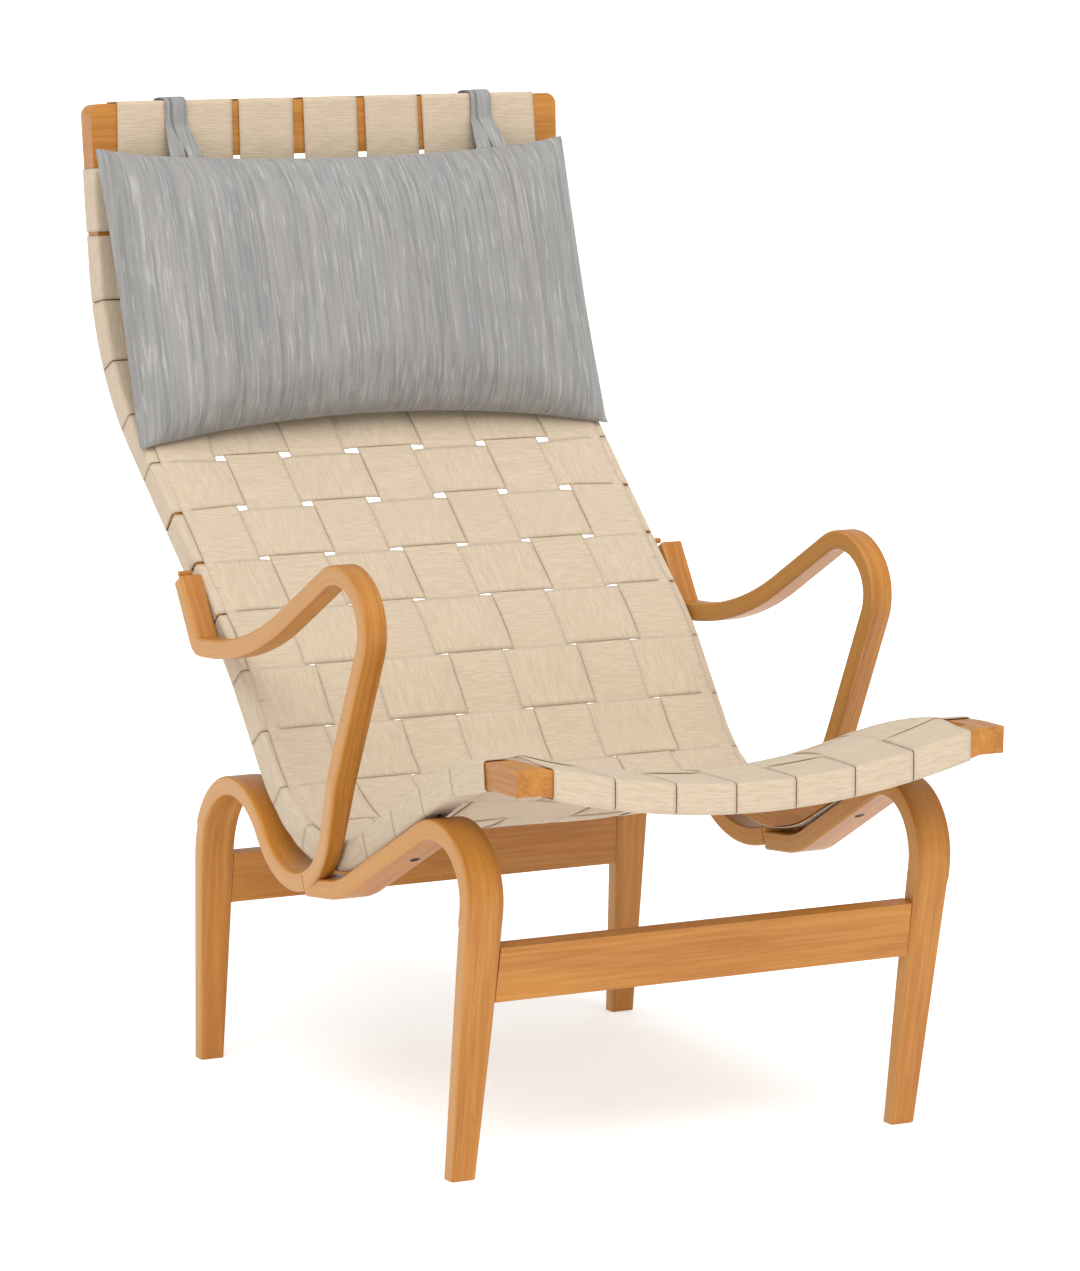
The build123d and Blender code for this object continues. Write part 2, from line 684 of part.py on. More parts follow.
def rail_fold(index, side):
    """The points of a crosswise strap round a side rail, from the weave to the back."""
    front = facet(index, side * REACH, LOW_LEVEL)
    back = facet(index, side * REACH, -LOW_LEVEL)
    corners = []
    for patch in (front, back):
        x = frame_half_width(patch.origin.Z) + EDGE
        corners.append(Vector(side * x, patch.origin.Y, patch.origin.Z))
    tail = corners[1] - ACROSS * (side * RAIL_WRAP)
    lean = front.y_dir + ACROSS * (side * FLARE * front.y_dir.Z)
    return corners + [tail], [lean, lean, back.y_dir]


def cross_strap(index):
    """A crosswise strap, through the weave and folded round both side rails."""
    s = crossings[index]
    points, widths = rail_fold(index, -1)
    points.reverse()
    widths.reverse()
    for lane in lanes:
        patch = facet(index, lane * lane_pitch(s), WEB_LEVEL)
        over = -HALF_STEP if (lane + index) % 2 == 0 else HALF_STEP
        for end in (-HALF_LANE - STRAP_EASE, HALF_LANE + STRAP_EASE):
            points.append(patch.origin + patch.x_dir * end + patch.z_dir * over)
            widths.append(patch.y_dir)
    fold_points, fold_widths = rail_fold(index, 1)
    ribbon(points + fold_points, widths + fold_widths, 2 * half_row(index), STRAP_THICKNESS)


for number, lane in enumerate(lanes, start=1):
    with BuildPart() as lengthwise:
        lane_strap(lane)
    finish(lengthwise.part, f"lengthwise_strap_{number}")

for index in range(CROSS_COUNT):
    with BuildPart() as crosswise:
        cross_strap(index)
    finish(crosswise.part, f"crosswise_strap_{index + 1:02d}")


# Head pillow: crowned front and back, edges drawn in between the corners
pillow_up = Vector(0, sin(radians(PILLOW_LEAN)), cos(radians(PILLOW_LEAN)))
pillow_centre = Vector(0, PILLOW_Y, PILLOW_Z)
half_pillow = PILLOW_WIDTH / 2
PILLOW_SECTIONS = ((0.0, 1.0, 1.0), (0.5, 0.9, 0.75), (0.85, 0.5, 0.25), (1.0, 0.04, 0.0))


def pillow_section(x, fullness, sag):
    """A lens across the pillow at a distance from its middle."""
    half = PILLOW_HEIGHT / 2 - PILLOW_EDGE_SAG * sag
    with BuildSketch(Plane(pillow_centre + ACROSS * x, x_dir=pillow_up, z_dir=ACROSS)) as lens:
        with BuildLine():
            front = PILLOW_HEM + PILLOW_FRONT_CROWN * fullness
            back = PILLOW_HEM + PILLOW_BACK_CROWN * fullness
            ThreePointArc((-half, PILLOW_HEM), (0, front), (half, PILLOW_HEM))
            Line((half, PILLOW_HEM), (half, -PILLOW_HEM))
            ThreePointArc((half, -PILLOW_HEM), (0, -back), (-half, -PILLOW_HEM))
            Line((-half, -PILLOW_HEM), (-half, PILLOW_HEM))
        make_face()
    return lens.sketch


with BuildPart() as pillow:
    half_sections = [(share * half_pillow, fullness, sag) for share, fullness, sag in PILLOW_SECTIONS]
    lenses = [pillow_section(-x, fullness, sag) for x, fullness, sag in reversed(half_sections[1:])]
    lenses += [pillow_section(x, fullness, sag) for x, fullness, sag in half_sections]
    loft(lenses)
    side_radius = (PILLOW_HEIGHT / 2) ** 2 / (2 * PILLOW_SIDE_DRAW) + PILLOW_SIDE_DRAW / 2
    for side in (1, -1):
        hollow = pillow_centre + ACROSS * (side * (half_pillow + side_radius - PILLOW_SIDE_DRAW))
        with Locations(Plane(hollow, x_dir=ACROSS, z_dir=ACROSS.cross(pillow_up))):
            Cylinder(side_radius, PILLOW_HEIGHT, mode=Mode.SUBTRACT)
finish(pillow.part, "head_pillow")


# Loops: each runs from the pillow's top edge over the top rail and down behind it
def pillow_loop(x):
    """One fabric loop at a distance from the middle of the chair."""
    level = WEB_LEVEL + HALF_STEP + STRAP_THICKNESS / 2 + LOOP_CLEARANCE + LOOP_THICKNESS / 2
    over = STRAP_THICKNESS + WRAP_CLEARANCE + LOOP_CLEARANCE + LOOP_THICKNESS / 2
    share = abs(x) / half_pillow
    hem = PILLOW_HEIGHT / 2 - PILLOW_EDGE_SAG * (1 - share**2) + HEM_CLEARANCE
    points = [
        pillow_centre + pillow_up * hem + ACROSS * x,
        frame_point(FRAME_LENGTH - TOP_RAIL_HEIGHT / 2, level) + ACROSS * x,
        frame_point(FRAME_LENGTH + over, level) + ACROSS * x,
        frame_point(FRAME_LENGTH + over, -HALF_RAIL - over) + ACROSS * x,
        frame_point(FRAME_LENGTH - LOOP_TAIL, -HALF_RAIL - over) + ACROSS * x,
    ]
    ribbon(points, [ACROSS] * len(points), LOOP_WIDTH, LOOP_THICKNESS)


for label, x in (("pillow_loop_left", LOOP_X), ("pillow_loop_right", -LOOP_X)):
    with BuildPart() as loop:
        pillow_loop(x)
    finish(loop.part, label)
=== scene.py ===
"""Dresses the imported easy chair: bent wood, woven webbing, hung head pillow and a plain studio."""

import logging
import math
from bisect import bisect_right
from dataclasses import dataclass, field
from enum import Enum
from typing import Any, Callable, Iterable, Optional, Sequence, Union

import bmesh
import bpy
from mathutils import Matrix, Vector


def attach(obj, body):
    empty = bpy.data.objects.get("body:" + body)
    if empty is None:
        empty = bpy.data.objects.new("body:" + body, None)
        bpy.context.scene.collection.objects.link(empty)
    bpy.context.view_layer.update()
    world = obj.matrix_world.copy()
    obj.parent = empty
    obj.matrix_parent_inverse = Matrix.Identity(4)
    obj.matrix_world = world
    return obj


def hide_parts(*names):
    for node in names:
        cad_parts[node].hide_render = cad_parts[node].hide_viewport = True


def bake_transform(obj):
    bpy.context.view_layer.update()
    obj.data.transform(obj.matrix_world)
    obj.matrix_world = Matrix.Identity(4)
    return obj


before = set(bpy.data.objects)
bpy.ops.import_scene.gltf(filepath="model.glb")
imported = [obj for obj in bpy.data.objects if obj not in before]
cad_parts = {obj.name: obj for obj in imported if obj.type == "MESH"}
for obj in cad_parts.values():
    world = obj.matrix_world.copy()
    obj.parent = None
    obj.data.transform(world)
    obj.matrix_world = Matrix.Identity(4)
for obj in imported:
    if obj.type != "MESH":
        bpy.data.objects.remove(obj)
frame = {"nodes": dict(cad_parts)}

log = logging.getLogger("easy_chair")
MM = 0.001
HALVINGS = 40
Pair = tuple[float, float]
Colour = tuple[float, float, float]
Number = Union[int, float, "Signal"]


class Side(Enum):
    """The sitter's left, at +X, and right."""

    LEFT = 1
    RIGHT = -1

    @property
    def word(self) -> str:
        """The side's name as the pieces use it."""
        return self.name.lower()


# Lines of the side view


def step(corner: Pair, length: float, angle: float) -> Pair:
    """Walk from a corner of the side view."""
    turn = math.radians(angle)
    return (corner[0] + length * math.cos(turn), corner[1] + length * math.sin(turn))


def walk(start: Pair, runs: Iterable[Pair]) -> list[Pair]:
    """Walk several runs in a row."""
    corners = [start]
    for length, angle in runs:
        corners.append(step(corners[-1], length, angle))
    return corners


def meet(first: Pair, first_heading: float, second: Pair, second_heading: float) -> Pair:
    """Find where two lines of the side view cross."""
    a, b = math.radians(first_heading), math.radians(second_heading)
    gap = (second[0] - first[0], second[1] - first[1])
    scale = math.cos(a) * math.sin(b) - math.sin(a) * math.cos(b)
    length = (gap[0] * math.sin(b) - gap[1] * math.cos(b)) / scale
    return (first[0] + math.cos(a) * length, first[1] + math.sin(a) * length)


def ramp(value: float, low: Pair, high: Pair) -> float:
    """Change straight from one size to another, held past both ends."""
    share = min(max((value - low[0]) / (high[0] - low[0]), 0.0), 1.0)
    return low[1] + (high[1] - low[1]) * share


def ease(share: float) -> float:
    """Turn a straight share into one that starts and ends gently."""
    held = min(max(share, 0.0), 1.0)
    return held * held * (3 - 2 * held)


@dataclass(frozen=True)
class Run:
    """A straight or curved part of a bent line: its start, heading, curvature and place."""

    y: float
    z: float
    heading: float
    curvature: float
    begins: float


class BentLine:
    """A line of straight runs joined by arcs, in the side view, in millimetres."""

    def __init__(self, corners: Sequence[Pair], radii: Sequence[float]) -> None:
        """Lay the runs and arcs out.

        Args:
            corners: The (y, z) corners before rounding.
            radii: One radius for each corner between the ends.
        """
        self.runs: list[Run] = []
        self.length = 0.0
        cursor = Vector(corners[0])
        for here, corner, after, radius in zip(corners, corners[1:], corners[2:], radii):
            into = (Vector(corner) - Vector(here)).normalized()
            out = (Vector(after) - Vector(corner)).normalized()
            heading = math.atan2(into.y, into.x)
            turn = math.atan2(into.x * out.y - into.y * out.x, into.dot(out))
            trim = radius * math.tan(abs(turn) / 2)
            bend = Vector(corner) - into * trim
            self._add(cursor, heading, 0.0, (bend - cursor).length)
            self._add(bend, heading, math.copysign(1 / radius, turn), radius * abs(turn))
            cursor = Vector(corner) + out * trim
        last = Vector(corners[-1]) - cursor
        self._add(cursor, math.atan2(last.y, last.x), 0.0, last.length)

    def _add(self, place: Vector, heading: float, curvature: float, length: float) -> None:
        """Add one run at the end of the line."""
        self.runs.append(Run(place.x, place.y, heading, curvature, self.length))
        self.length += length

    def at(self, s: float) -> tuple[float, float, float]:
        """Find a point of the line, which goes on straight past its ends.

        Args:
            s: The distance along the line.

        Returns:
            The y and z of the point, and the heading there in radians.
        """
        held = min(max(s, 0.0), self.length)
        run = self.runs[bisect_right([r.begins for r in self.runs], held) - 1]
        ahead = held - run.begins
        heading = run.heading + run.curvature * ahead
        if run.curvature:
            y = run.y + (math.sin(heading) - math.sin(run.heading)) / run.curvature
            z = run.z + (math.cos(run.heading) - math.cos(heading)) / run.curvature
        else:
            y = run.y + math.cos(heading) * ahead
            z = run.z + math.sin(heading) * ahead
        past = s - held
        return (y + math.cos(heading) * past, z + math.sin(heading) * past, heading)

    def nearest(self, test: Callable[[float, float], float], start: float, end: float) -> float:
        """Find where a measure of the line's points changes sign.

        Args:
            test: A measure of y and z, of different sign at both ends.
            start: A distance along the line.
            end: A further distance.

        Returns:
            The distance at which the measure is zero.
        """
        low = test(*self.at(start)[:2])
        for _ in range(HALVINGS):
            middle = (start + end) / 2
            if (test(*self.at(middle)[:2]) > 0) == (low > 0):
                start = middle
            else:
                end = middle
        return (start + end) / 2


# Shader maths and finishes


class Signal:
    """One socket of a material, with the arithmetic that adds its Math nodes."""

    def __init__(self, graph: "Graph", socket: bpy.types.NodeSocket) -> None:
        """Wrap an output socket of a graph."""
        self.graph = graph
        self.socket = socket

    def __add__(self, other: Number) -> "Signal":
        """Add."""
        return self.graph.math("ADD", self, other)

    def __sub__(self, other: Number) -> "Signal":
        """Take away."""
        return self.graph.math("SUBTRACT", self, other)

    def __rsub__(self, other: Number) -> "Signal":
        """Take this away from another."""
        return self.graph.math("SUBTRACT", other, self)

    def __mul__(self, other: Number) -> "Signal":
        """Multiply."""
        return self.graph.math("MULTIPLY", self, other)

    def __truediv__(self, other: Number) -> "Signal":
        """Divide."""
        return self.graph.math("DIVIDE", self, other)

    def __abs__(self) -> "Signal":
        """The size without its sign."""
        return self.graph.math("ABSOLUTE", self)

    __radd__ = __add__
    __rmul__ = __mul__

    def sine(self) -> "Signal":
        """The sine of an angle in radians."""
        return self.graph.math("SINE", self)

    def fraction(self) -> "Signal":
        """What is left above the whole number below."""
        return self.graph.math("FRACT", self)

    def floor(self) -> "Signal":
        """The whole number below."""
        return self.graph.math("FLOOR", self)

    def between(self, low: float, high: float) -> "Signal":
        """Rise smoothly from 0 at low to 1 at high."""
        settings = {"interpolation_type": "SMOOTHSTEP"}
        inputs = {"Value": self, "From Min": low, "From Max": high}
        return self.graph.node("ShaderNodeMapRange", settings, inputs)


class Graph:
    """A material's node tree."""

    def __init__(self, name: str) -> None:
        """Start an empty material."""
        self.material = bpy.data.materials.new(name)
        self.material.use_nodes = True
        self.tree = self.material.node_tree
        self.tree.nodes.clear()

    def node(
        self,
        kind: str,
        settings: Optional[dict[str, Any]] = None,
        inputs: Optional[dict[Union[str, int], Any]] = None,
        output: Union[str, int] = 0,
    ) -> Signal:
        """Add a node.

        Args:
            kind: The node's type.
            settings: Properties of the node, set first.
            inputs: Values or signals of its sockets.
            output: The socket to hand back.

        Returns:
            The chosen output.
        """
        made = self.tree.nodes.new(kind)
        for key, value in (settings or {}).items():
            setattr(made, key, value)
        for key, value in (inputs or {}).items():
            if isinstance(value, Signal):
                self.tree.links.new(value.socket, made.inputs[key])
            else:
                made.inputs[key].default_value = value
        return Signal(self, made.outputs[output])

    def math(self, operation: str, *values: Number) -> Signal:
        """Add a Math node on values."""
        return self.node("ShaderNodeMath", {"operation": operation}, dict(enumerate(values)))

    def mix(self, factor: Number, first: Any, second: Any) -> Signal:
        """Blend two colours."""
        inputs = {0: factor, 6: opaque(first), 7: opaque(second)}
        return self.node("ShaderNodeMix", {"data_type": "RGBA", "clamp_factor": True}, inputs, 2)

    def vector(self, x: Number, y: Number, z: Number) -> Signal:
        """Join three values."""
        return self.node("ShaderNodeCombineXYZ", None, {0: x, 1: y, 2: z})

    def parts(self, vector: Signal) -> tuple[Signal, Signal, Signal]:
        """Take a vector apart."""
        first = self.node("ShaderNodeSeparateXYZ", None, {0: vector})
        outputs = first.socket.node.outputs
        return (first, Signal(self, outputs[1]), Signal(self, outputs[2]))

    def noise(self, place: Signal, detail: float = 2.0, roughness: float = 0.5) -> Signal:
        """Noise of scale 1 at a place that is already scaled."""
        inputs = {"Vector": place, "Scale": 1.0, "Detail": detail, "Roughness": roughness}
        return self.node("ShaderNodeTexNoise", {"noise_dimensions": "3D"}, inputs)

    def surface(self, inputs: dict[str, Any], height: Signal, strength: float, depth: float) -> None:
        """Close the material with one shader and a bump."""
        bumped = {"Height": height, "Strength": strength, "Distance": depth}
        normal = self.node("ShaderNodeBump", None, bumped)
        shader = self.node("ShaderNodeBsdfPrincipled", None, {**inputs, "Normal": normal})
        self.node_output(shader)

    def node_output(self, shader: Signal) -> None:
        """Link a shader to the material's output."""
        target = self.tree.nodes.new("ShaderNodeOutputMaterial")
        self.tree.links.new(shader.socket, target.inputs["Surface"])


def opaque(colour: Any) -> Any:
    """Give a plain colour its alpha and leave a signal as it is."""
    return colour if isinstance(colour, Signal) else (*colour, 1.0)


class Finish:
    """A finish that is made into one material."""

    name: str

    def make(self) -> bpy.types.Material:
        """Build the material."""
        graph = Graph(self.name)
        self.paint(graph)
        return graph.material

    def paint(self, graph: Graph) -> None:
        """Fill the material's graph."""
        raise NotImplementedError


class Grain(Enum):
    """Where the wood's grain takes its direction from."""

    STRIP = "strip_space"
    ALONG_X = "across the chair"
    ALONG_Y = "along the chair"


@dataclass(frozen=True)
class Beech(Finish):
    """Honey lacquered beech, laminated where it is bent."""

    name: str
    grain: Grain
    deep: Colour = (0.315, 0.108, 0.011)
    honey: Colour = (0.415, 0.162, 0.020)
    pale: Colour = (0.505, 0.250, 0.056)
    line: Colour = (0.20, 0.068, 0.010)
    layer: float = 3.25 * MM

    def _place(self, graph: Graph) -> tuple[Signal, Signal, Signal]:
        """The directions along the grain, across it and through the layers."""
        if self.grain is Grain.STRIP:
            settings = {"attribute_name": self.grain.value}
            return graph.parts(graph.node("ShaderNodeAttribute", settings, None, "Vector"))
        x, y, z = graph.parts(graph.node("ShaderNodeTexCoord", None, None, "Object"))
        return (x, y, z) if self.grain is Grain.ALONG_X else (y, x, z)

    def paint(self, graph: Graph) -> None:
        """Fill the material's graph."""
        along, across, through = self._place(graph)
        figure = graph.noise(graph.vector(along * 2.2, across * 26, through * 26), 3.0, 0.55)
        streak = graph.noise(graph.vector(along * 9, across * 240, through * 240), 4.0, 0.6)
        pore = graph.noise(graph.vector(along * 110, across * 1500, through * 1500), 1.0)
        fleck = pore.between(0.60, 0.72)
        tone = graph.mix(figure.between(0.30, 0.70), self.deep, self.honey)
        tone = graph.mix(streak.between(0.38, 0.72) * 0.45, tone, self.pale)
        if self.grain is Grain.STRIP:
            normal = graph.node("ShaderNodeNewGeometry", None, None, "Normal")
            edge = abs(graph.parts(normal)[0]).between(0.45, 0.85)
            layer = through / self.layer
            shade = graph.noise(graph.vector(layer.floor() * 7.3, along * 0.8, 0.0), 0.0)
            seam = abs(layer.fraction() - 0.5).between(0.40, 0.49)
            tone = graph.mix(edge * (0.34 + shade * 0.5), tone, self.pale)
            tone = graph.mix(edge * seam * 0.42, tone, self.line)
        tone = graph.mix(fleck * 0.30, tone, self.line)
        height = streak * 0.6 + (1 - fleck) * 0.4
        inputs = {
            "Base Color": tone,
            "Roughness": 0.33 + streak * 0.16,
            "Specular IOR Level": 0.34,
            "Coat Weight": 0.08,
            "Coat Roughness": 0.22,
        }
        graph.surface(inputs, height, 0.20, 0.0004)


@dataclass(frozen=True)
class Webbing(Finish):
    """Natural webbing with fine ribs across and a firm edge."""

    name: str = "webbing_natural"
    half_width: float = 31.5 * MM
    rib: float = 2.1 * MM
    thread: float = 1.3 * MM
    light: Colour = (0.535, 0.436, 0.320)
    shade: Colour = (0.435, 0.345, 0.245)
    straw: Colour = (0.470, 0.366, 0.244)

    def paint(self, graph: Graph) -> None:
        """Fill the material's graph."""
        place = graph.node("ShaderNodeUVMap", {"uv_map": "strap"})
        across, along, _ = graph.parts(place)
        where = graph.node("ShaderNodeTexCoord", None, None, "Object")
        x, y, z = graph.parts(where)
        cloud = graph.noise(graph.vector(x * 7, y * 7, z * 7), 2.0)
        slub = graph.noise(graph.vector(across * 60, along * 620, z * 9), 3.0, 0.6)
        warp = graph.noise(graph.vector(across * 700, along * 16, 0.0), 2.0, 0.6)
        rib = (along * (2 * math.pi / self.rib)).sine() * 0.5 + 0.5
        thread = (across * (2 * math.pi / self.thread)).sine() * 0.5 + 0.5
        edge = abs(across).between(self.half_width - 3.2 * MM, self.half_width - 1.4 * MM)
        tone = graph.mix(slub.between(0.28, 0.72), self.shade, self.light)
        tone = graph.mix(warp.between(0.45, 0.75) * 0.30, tone, self.straw)
        tone = graph.mix(cloud.between(0.45, 0.80) * 0.22, tone, self.shade)
        # Painted shade: the valleys between the ribs are darkened towards the shade colour. The strap's edge
        # is darker too.
        tone = graph.mix((1 - rib) * 0.16 + edge * 0.20, tone, self.shade)
        height = rib * 0.55 + thread * 0.20 + slub * 0.25 + edge * 0.25
        inputs = {
            "Base Color": tone,
            "Roughness": 0.88,
            "Specular IOR Level": 0.25,
            "Sheen Weight": 0.12,
            "Sheen Roughness": 0.6,
        }
        graph.surface(inputs, height, 0.45, 0.0006)


@dataclass(frozen=True)
class PillowCloth(Finish):
    """Grey cloth woven from mixed yarns that run down the pillow."""

    name: str = "pillow_melange"
    lean: float = 16.0
    dark: Colour = (0.186, 0.185, 0.183)
    mid: Colour = (0.274, 0.268, 0.254)
    light: Colour = (0.43, 0.415, 0.382)
    blue: Colour = (0.222, 0.234, 0.255)
    sand: Colour = (0.34, 0.304, 0.252)

    def paint(self, graph: Graph) -> None:
        """Fill the material's graph."""
        where = graph.node("ShaderNodeTexCoord", None, None, "Object")
        turn = {"Vector": where, "Rotation": (math.radians(self.lean), 0.0, 0.0)}
        x, depth, up = graph.parts(graph.node("ShaderNodeMapping", None, turn))
        yarn = graph.noise(graph.vector(x * 420, depth * 40, up * 8), 2.0, 0.6)
        band = graph.noise(graph.vector(x * 130, depth * 14, up * 4), 2.0, 0.55)
        slub = graph.noise(graph.vector(x * 300, depth * 30, up * 22 + 4), 2.0, 0.6)
        tint = graph.noise(graph.vector(x * 210, depth * 20, up * 3 + 9), 1.0)
        weft = (up * (2 * math.pi / (1.7 * MM))).sine() * 0.5 + 0.5
        tone = graph.mix((yarn * 0.6 + band * 0.4).between(0.34, 0.62), self.dark, self.mid)
        tone = graph.mix(tint.between(0.52, 0.68) * 0.30, tone, self.blue)
        tone = graph.mix(tint.between(0.46, 0.33) * 0.30, tone, self.sand)
        tone = graph.mix(slub.between(0.53, 0.72) * 0.52, tone, self.light)
        # Painted shade: the grooves between the weft threads are darkened towards the dark colour.
        tone = graph.mix((1 - weft) * 0.10, tone, self.dark)
        inputs = {
            "Base Color": tone,
            "Roughness": 0.90,
            "Specular IOR Level": 0.2,
            "Sheen Weight": 0.18,
            "Sheen Roughness": 0.5,
        }
        graph.surface(inputs, yarn * 0.6 + weft * 0.4, 0.50, 0.0007)


@dataclass(frozen=True)
class DarkSteel(Finish):
    """Darkened steel of the countersunk screws."""

    name: str = "screw_steel"
    colour: Colour = (0.035, 0.032, 0.030)
    worn: Colour = (0.16, 0.15, 0.14)

    def paint(self, graph: Graph) -> None:
        """Fill the material's graph."""
        where = graph.node("ShaderNodeTexCoord", None, None, "Object")
        x, y, z = graph.parts(where)
        wear = graph.noise(graph.vector(x * 900, y * 900, z * 900), 2.0)
        tone = graph.mix(wear.between(0.5, 0.8) * 0.4, self.colour, self.worn)
        inputs = {"Base Color": tone, "Metallic": 0.9, "Roughness": 0.35 + wear * 0.2}
        graph.surface(inputs, wear, 0.1, 0.0002)


@dataclass(frozen=True)
class PaleFloor(Finish):
    """The studio's white floor."""

    name: str = "studio_floor"

    def paint(self, graph: Graph) -> None:
        """Fill the material's graph."""
        inputs = {
            "Base Color": (0.93, 0.93, 0.93, 1.0),
            "Roughness": 0.75,
            "Specular IOR Level": 0.15,
            "Emission Color": (1.0, 1.0, 1.0, 1.0),
            "Emission Strength": 0.32,
        }
        graph.node_output(graph.node("ShaderNodeBsdfPrincipled", None, inputs))


class Finishes:
    """Every finish of the chair, each made once."""

    def __init__(self) -> None:
        """Make the materials."""
        self.bent = Beech("beech_bent", Grain.STRIP).make()
        self.cross_board = Beech("beech_cross", Grain.ALONG_X).make()
        self.long_board = Beech("beech_long", Grain.ALONG_Y).make()
        self.webbing = Webbing().make()
        self.cloth = PillowCloth().make()
        self.steel = DarkSteel().make()
        self.floor = PaleFloor().make()


# Making objects


def publish(name: str, mesh_source: bmesh.types.BMesh, material: bpy.types.Material) -> bpy.types.Object:
    """Turn a bmesh into a smooth-shaded object at the origin.

    Args:
        name: The piece's name.
        mesh_source: The finished bmesh, which is freed.
        material: The piece's finish.

    Returns:
        The new object.
    """
    mesh = bpy.data.meshes.new(name)
    mesh_source.to_mesh(mesh)
    mesh_source.free()
    mesh.polygons.foreach_set("use_smooth", [True] * len(mesh.polygons))
    mesh.materials.append(material)
    made = bpy.data.objects.new(name, mesh)
    bpy.context.scene.collection.objects.link(made)
    return made


def place_on(piece: bpy.types.Object, body: str, slot: str, *nodes: str) -> None:
    """Ride a piece on a body, in place of its nodes."""
    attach(piece, body)
    if nodes:
        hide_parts(*nodes)
    log.info("made %s on %s", piece.name, body)


# The seat and back frame's line and the woven surface on it


@dataclass
class SeatLine:
    """The line of the seat and back frame, and what the webbing needs from it."""

    front: Pair = (-484.0, 406.4)
    runs: tuple[Pair, ...] = ((100.4, 0.0), (398.7, -27.0), (265.1, 52.0), (415.8, 41.0), (276.3, 85.7))
    radii: tuple[float, ...] = (300.0, 179.4, 350.0, 250.0)
    half_rail: float = 13.0
    half_width: float = 253.5
    flare: float = 1.35
    front_dish: float = 33.0
    dish_reach: float = 236.4
    dish_fade: float = 420.0
    front_depth: float = 26.0
    line: BentLine = field(init=False)

    def __post_init__(self) -> None:
        """Lay out the line."""
        self.line = BentLine(walk(self.front, self.runs), self.radii)

    @property
    def length(self) -> float:
        """The line's length in millimetres."""
        return self.line.length

    def rail_x(self, z: float) -> float:
        """Half the frame's outer width at a height."""
        return self.half_width + math.tan(math.radians(self.flare)) * z

    def dish(self, s: float, x: float) -> float:
        """How far the webbing hangs below the rails."""
        share = max(1 - (x / self.dish_reach) ** 2, 0.0)
        if share <= 0:
            return 0.0
        fall = ease((s - self.front_depth) / (self.dish_fade * share))
        return self.front_dish * share * (1 - fall)

    def point(self, s: float, x: float, level: float) -> Vector:
        """A point of the woven surface."""
        y, z, heading = self.line.at(s)
        rise = level - self.dish(s, x)
        return Vector((x, y - math.sin(heading) * rise, z + math.cos(heading) * rise)) * MM


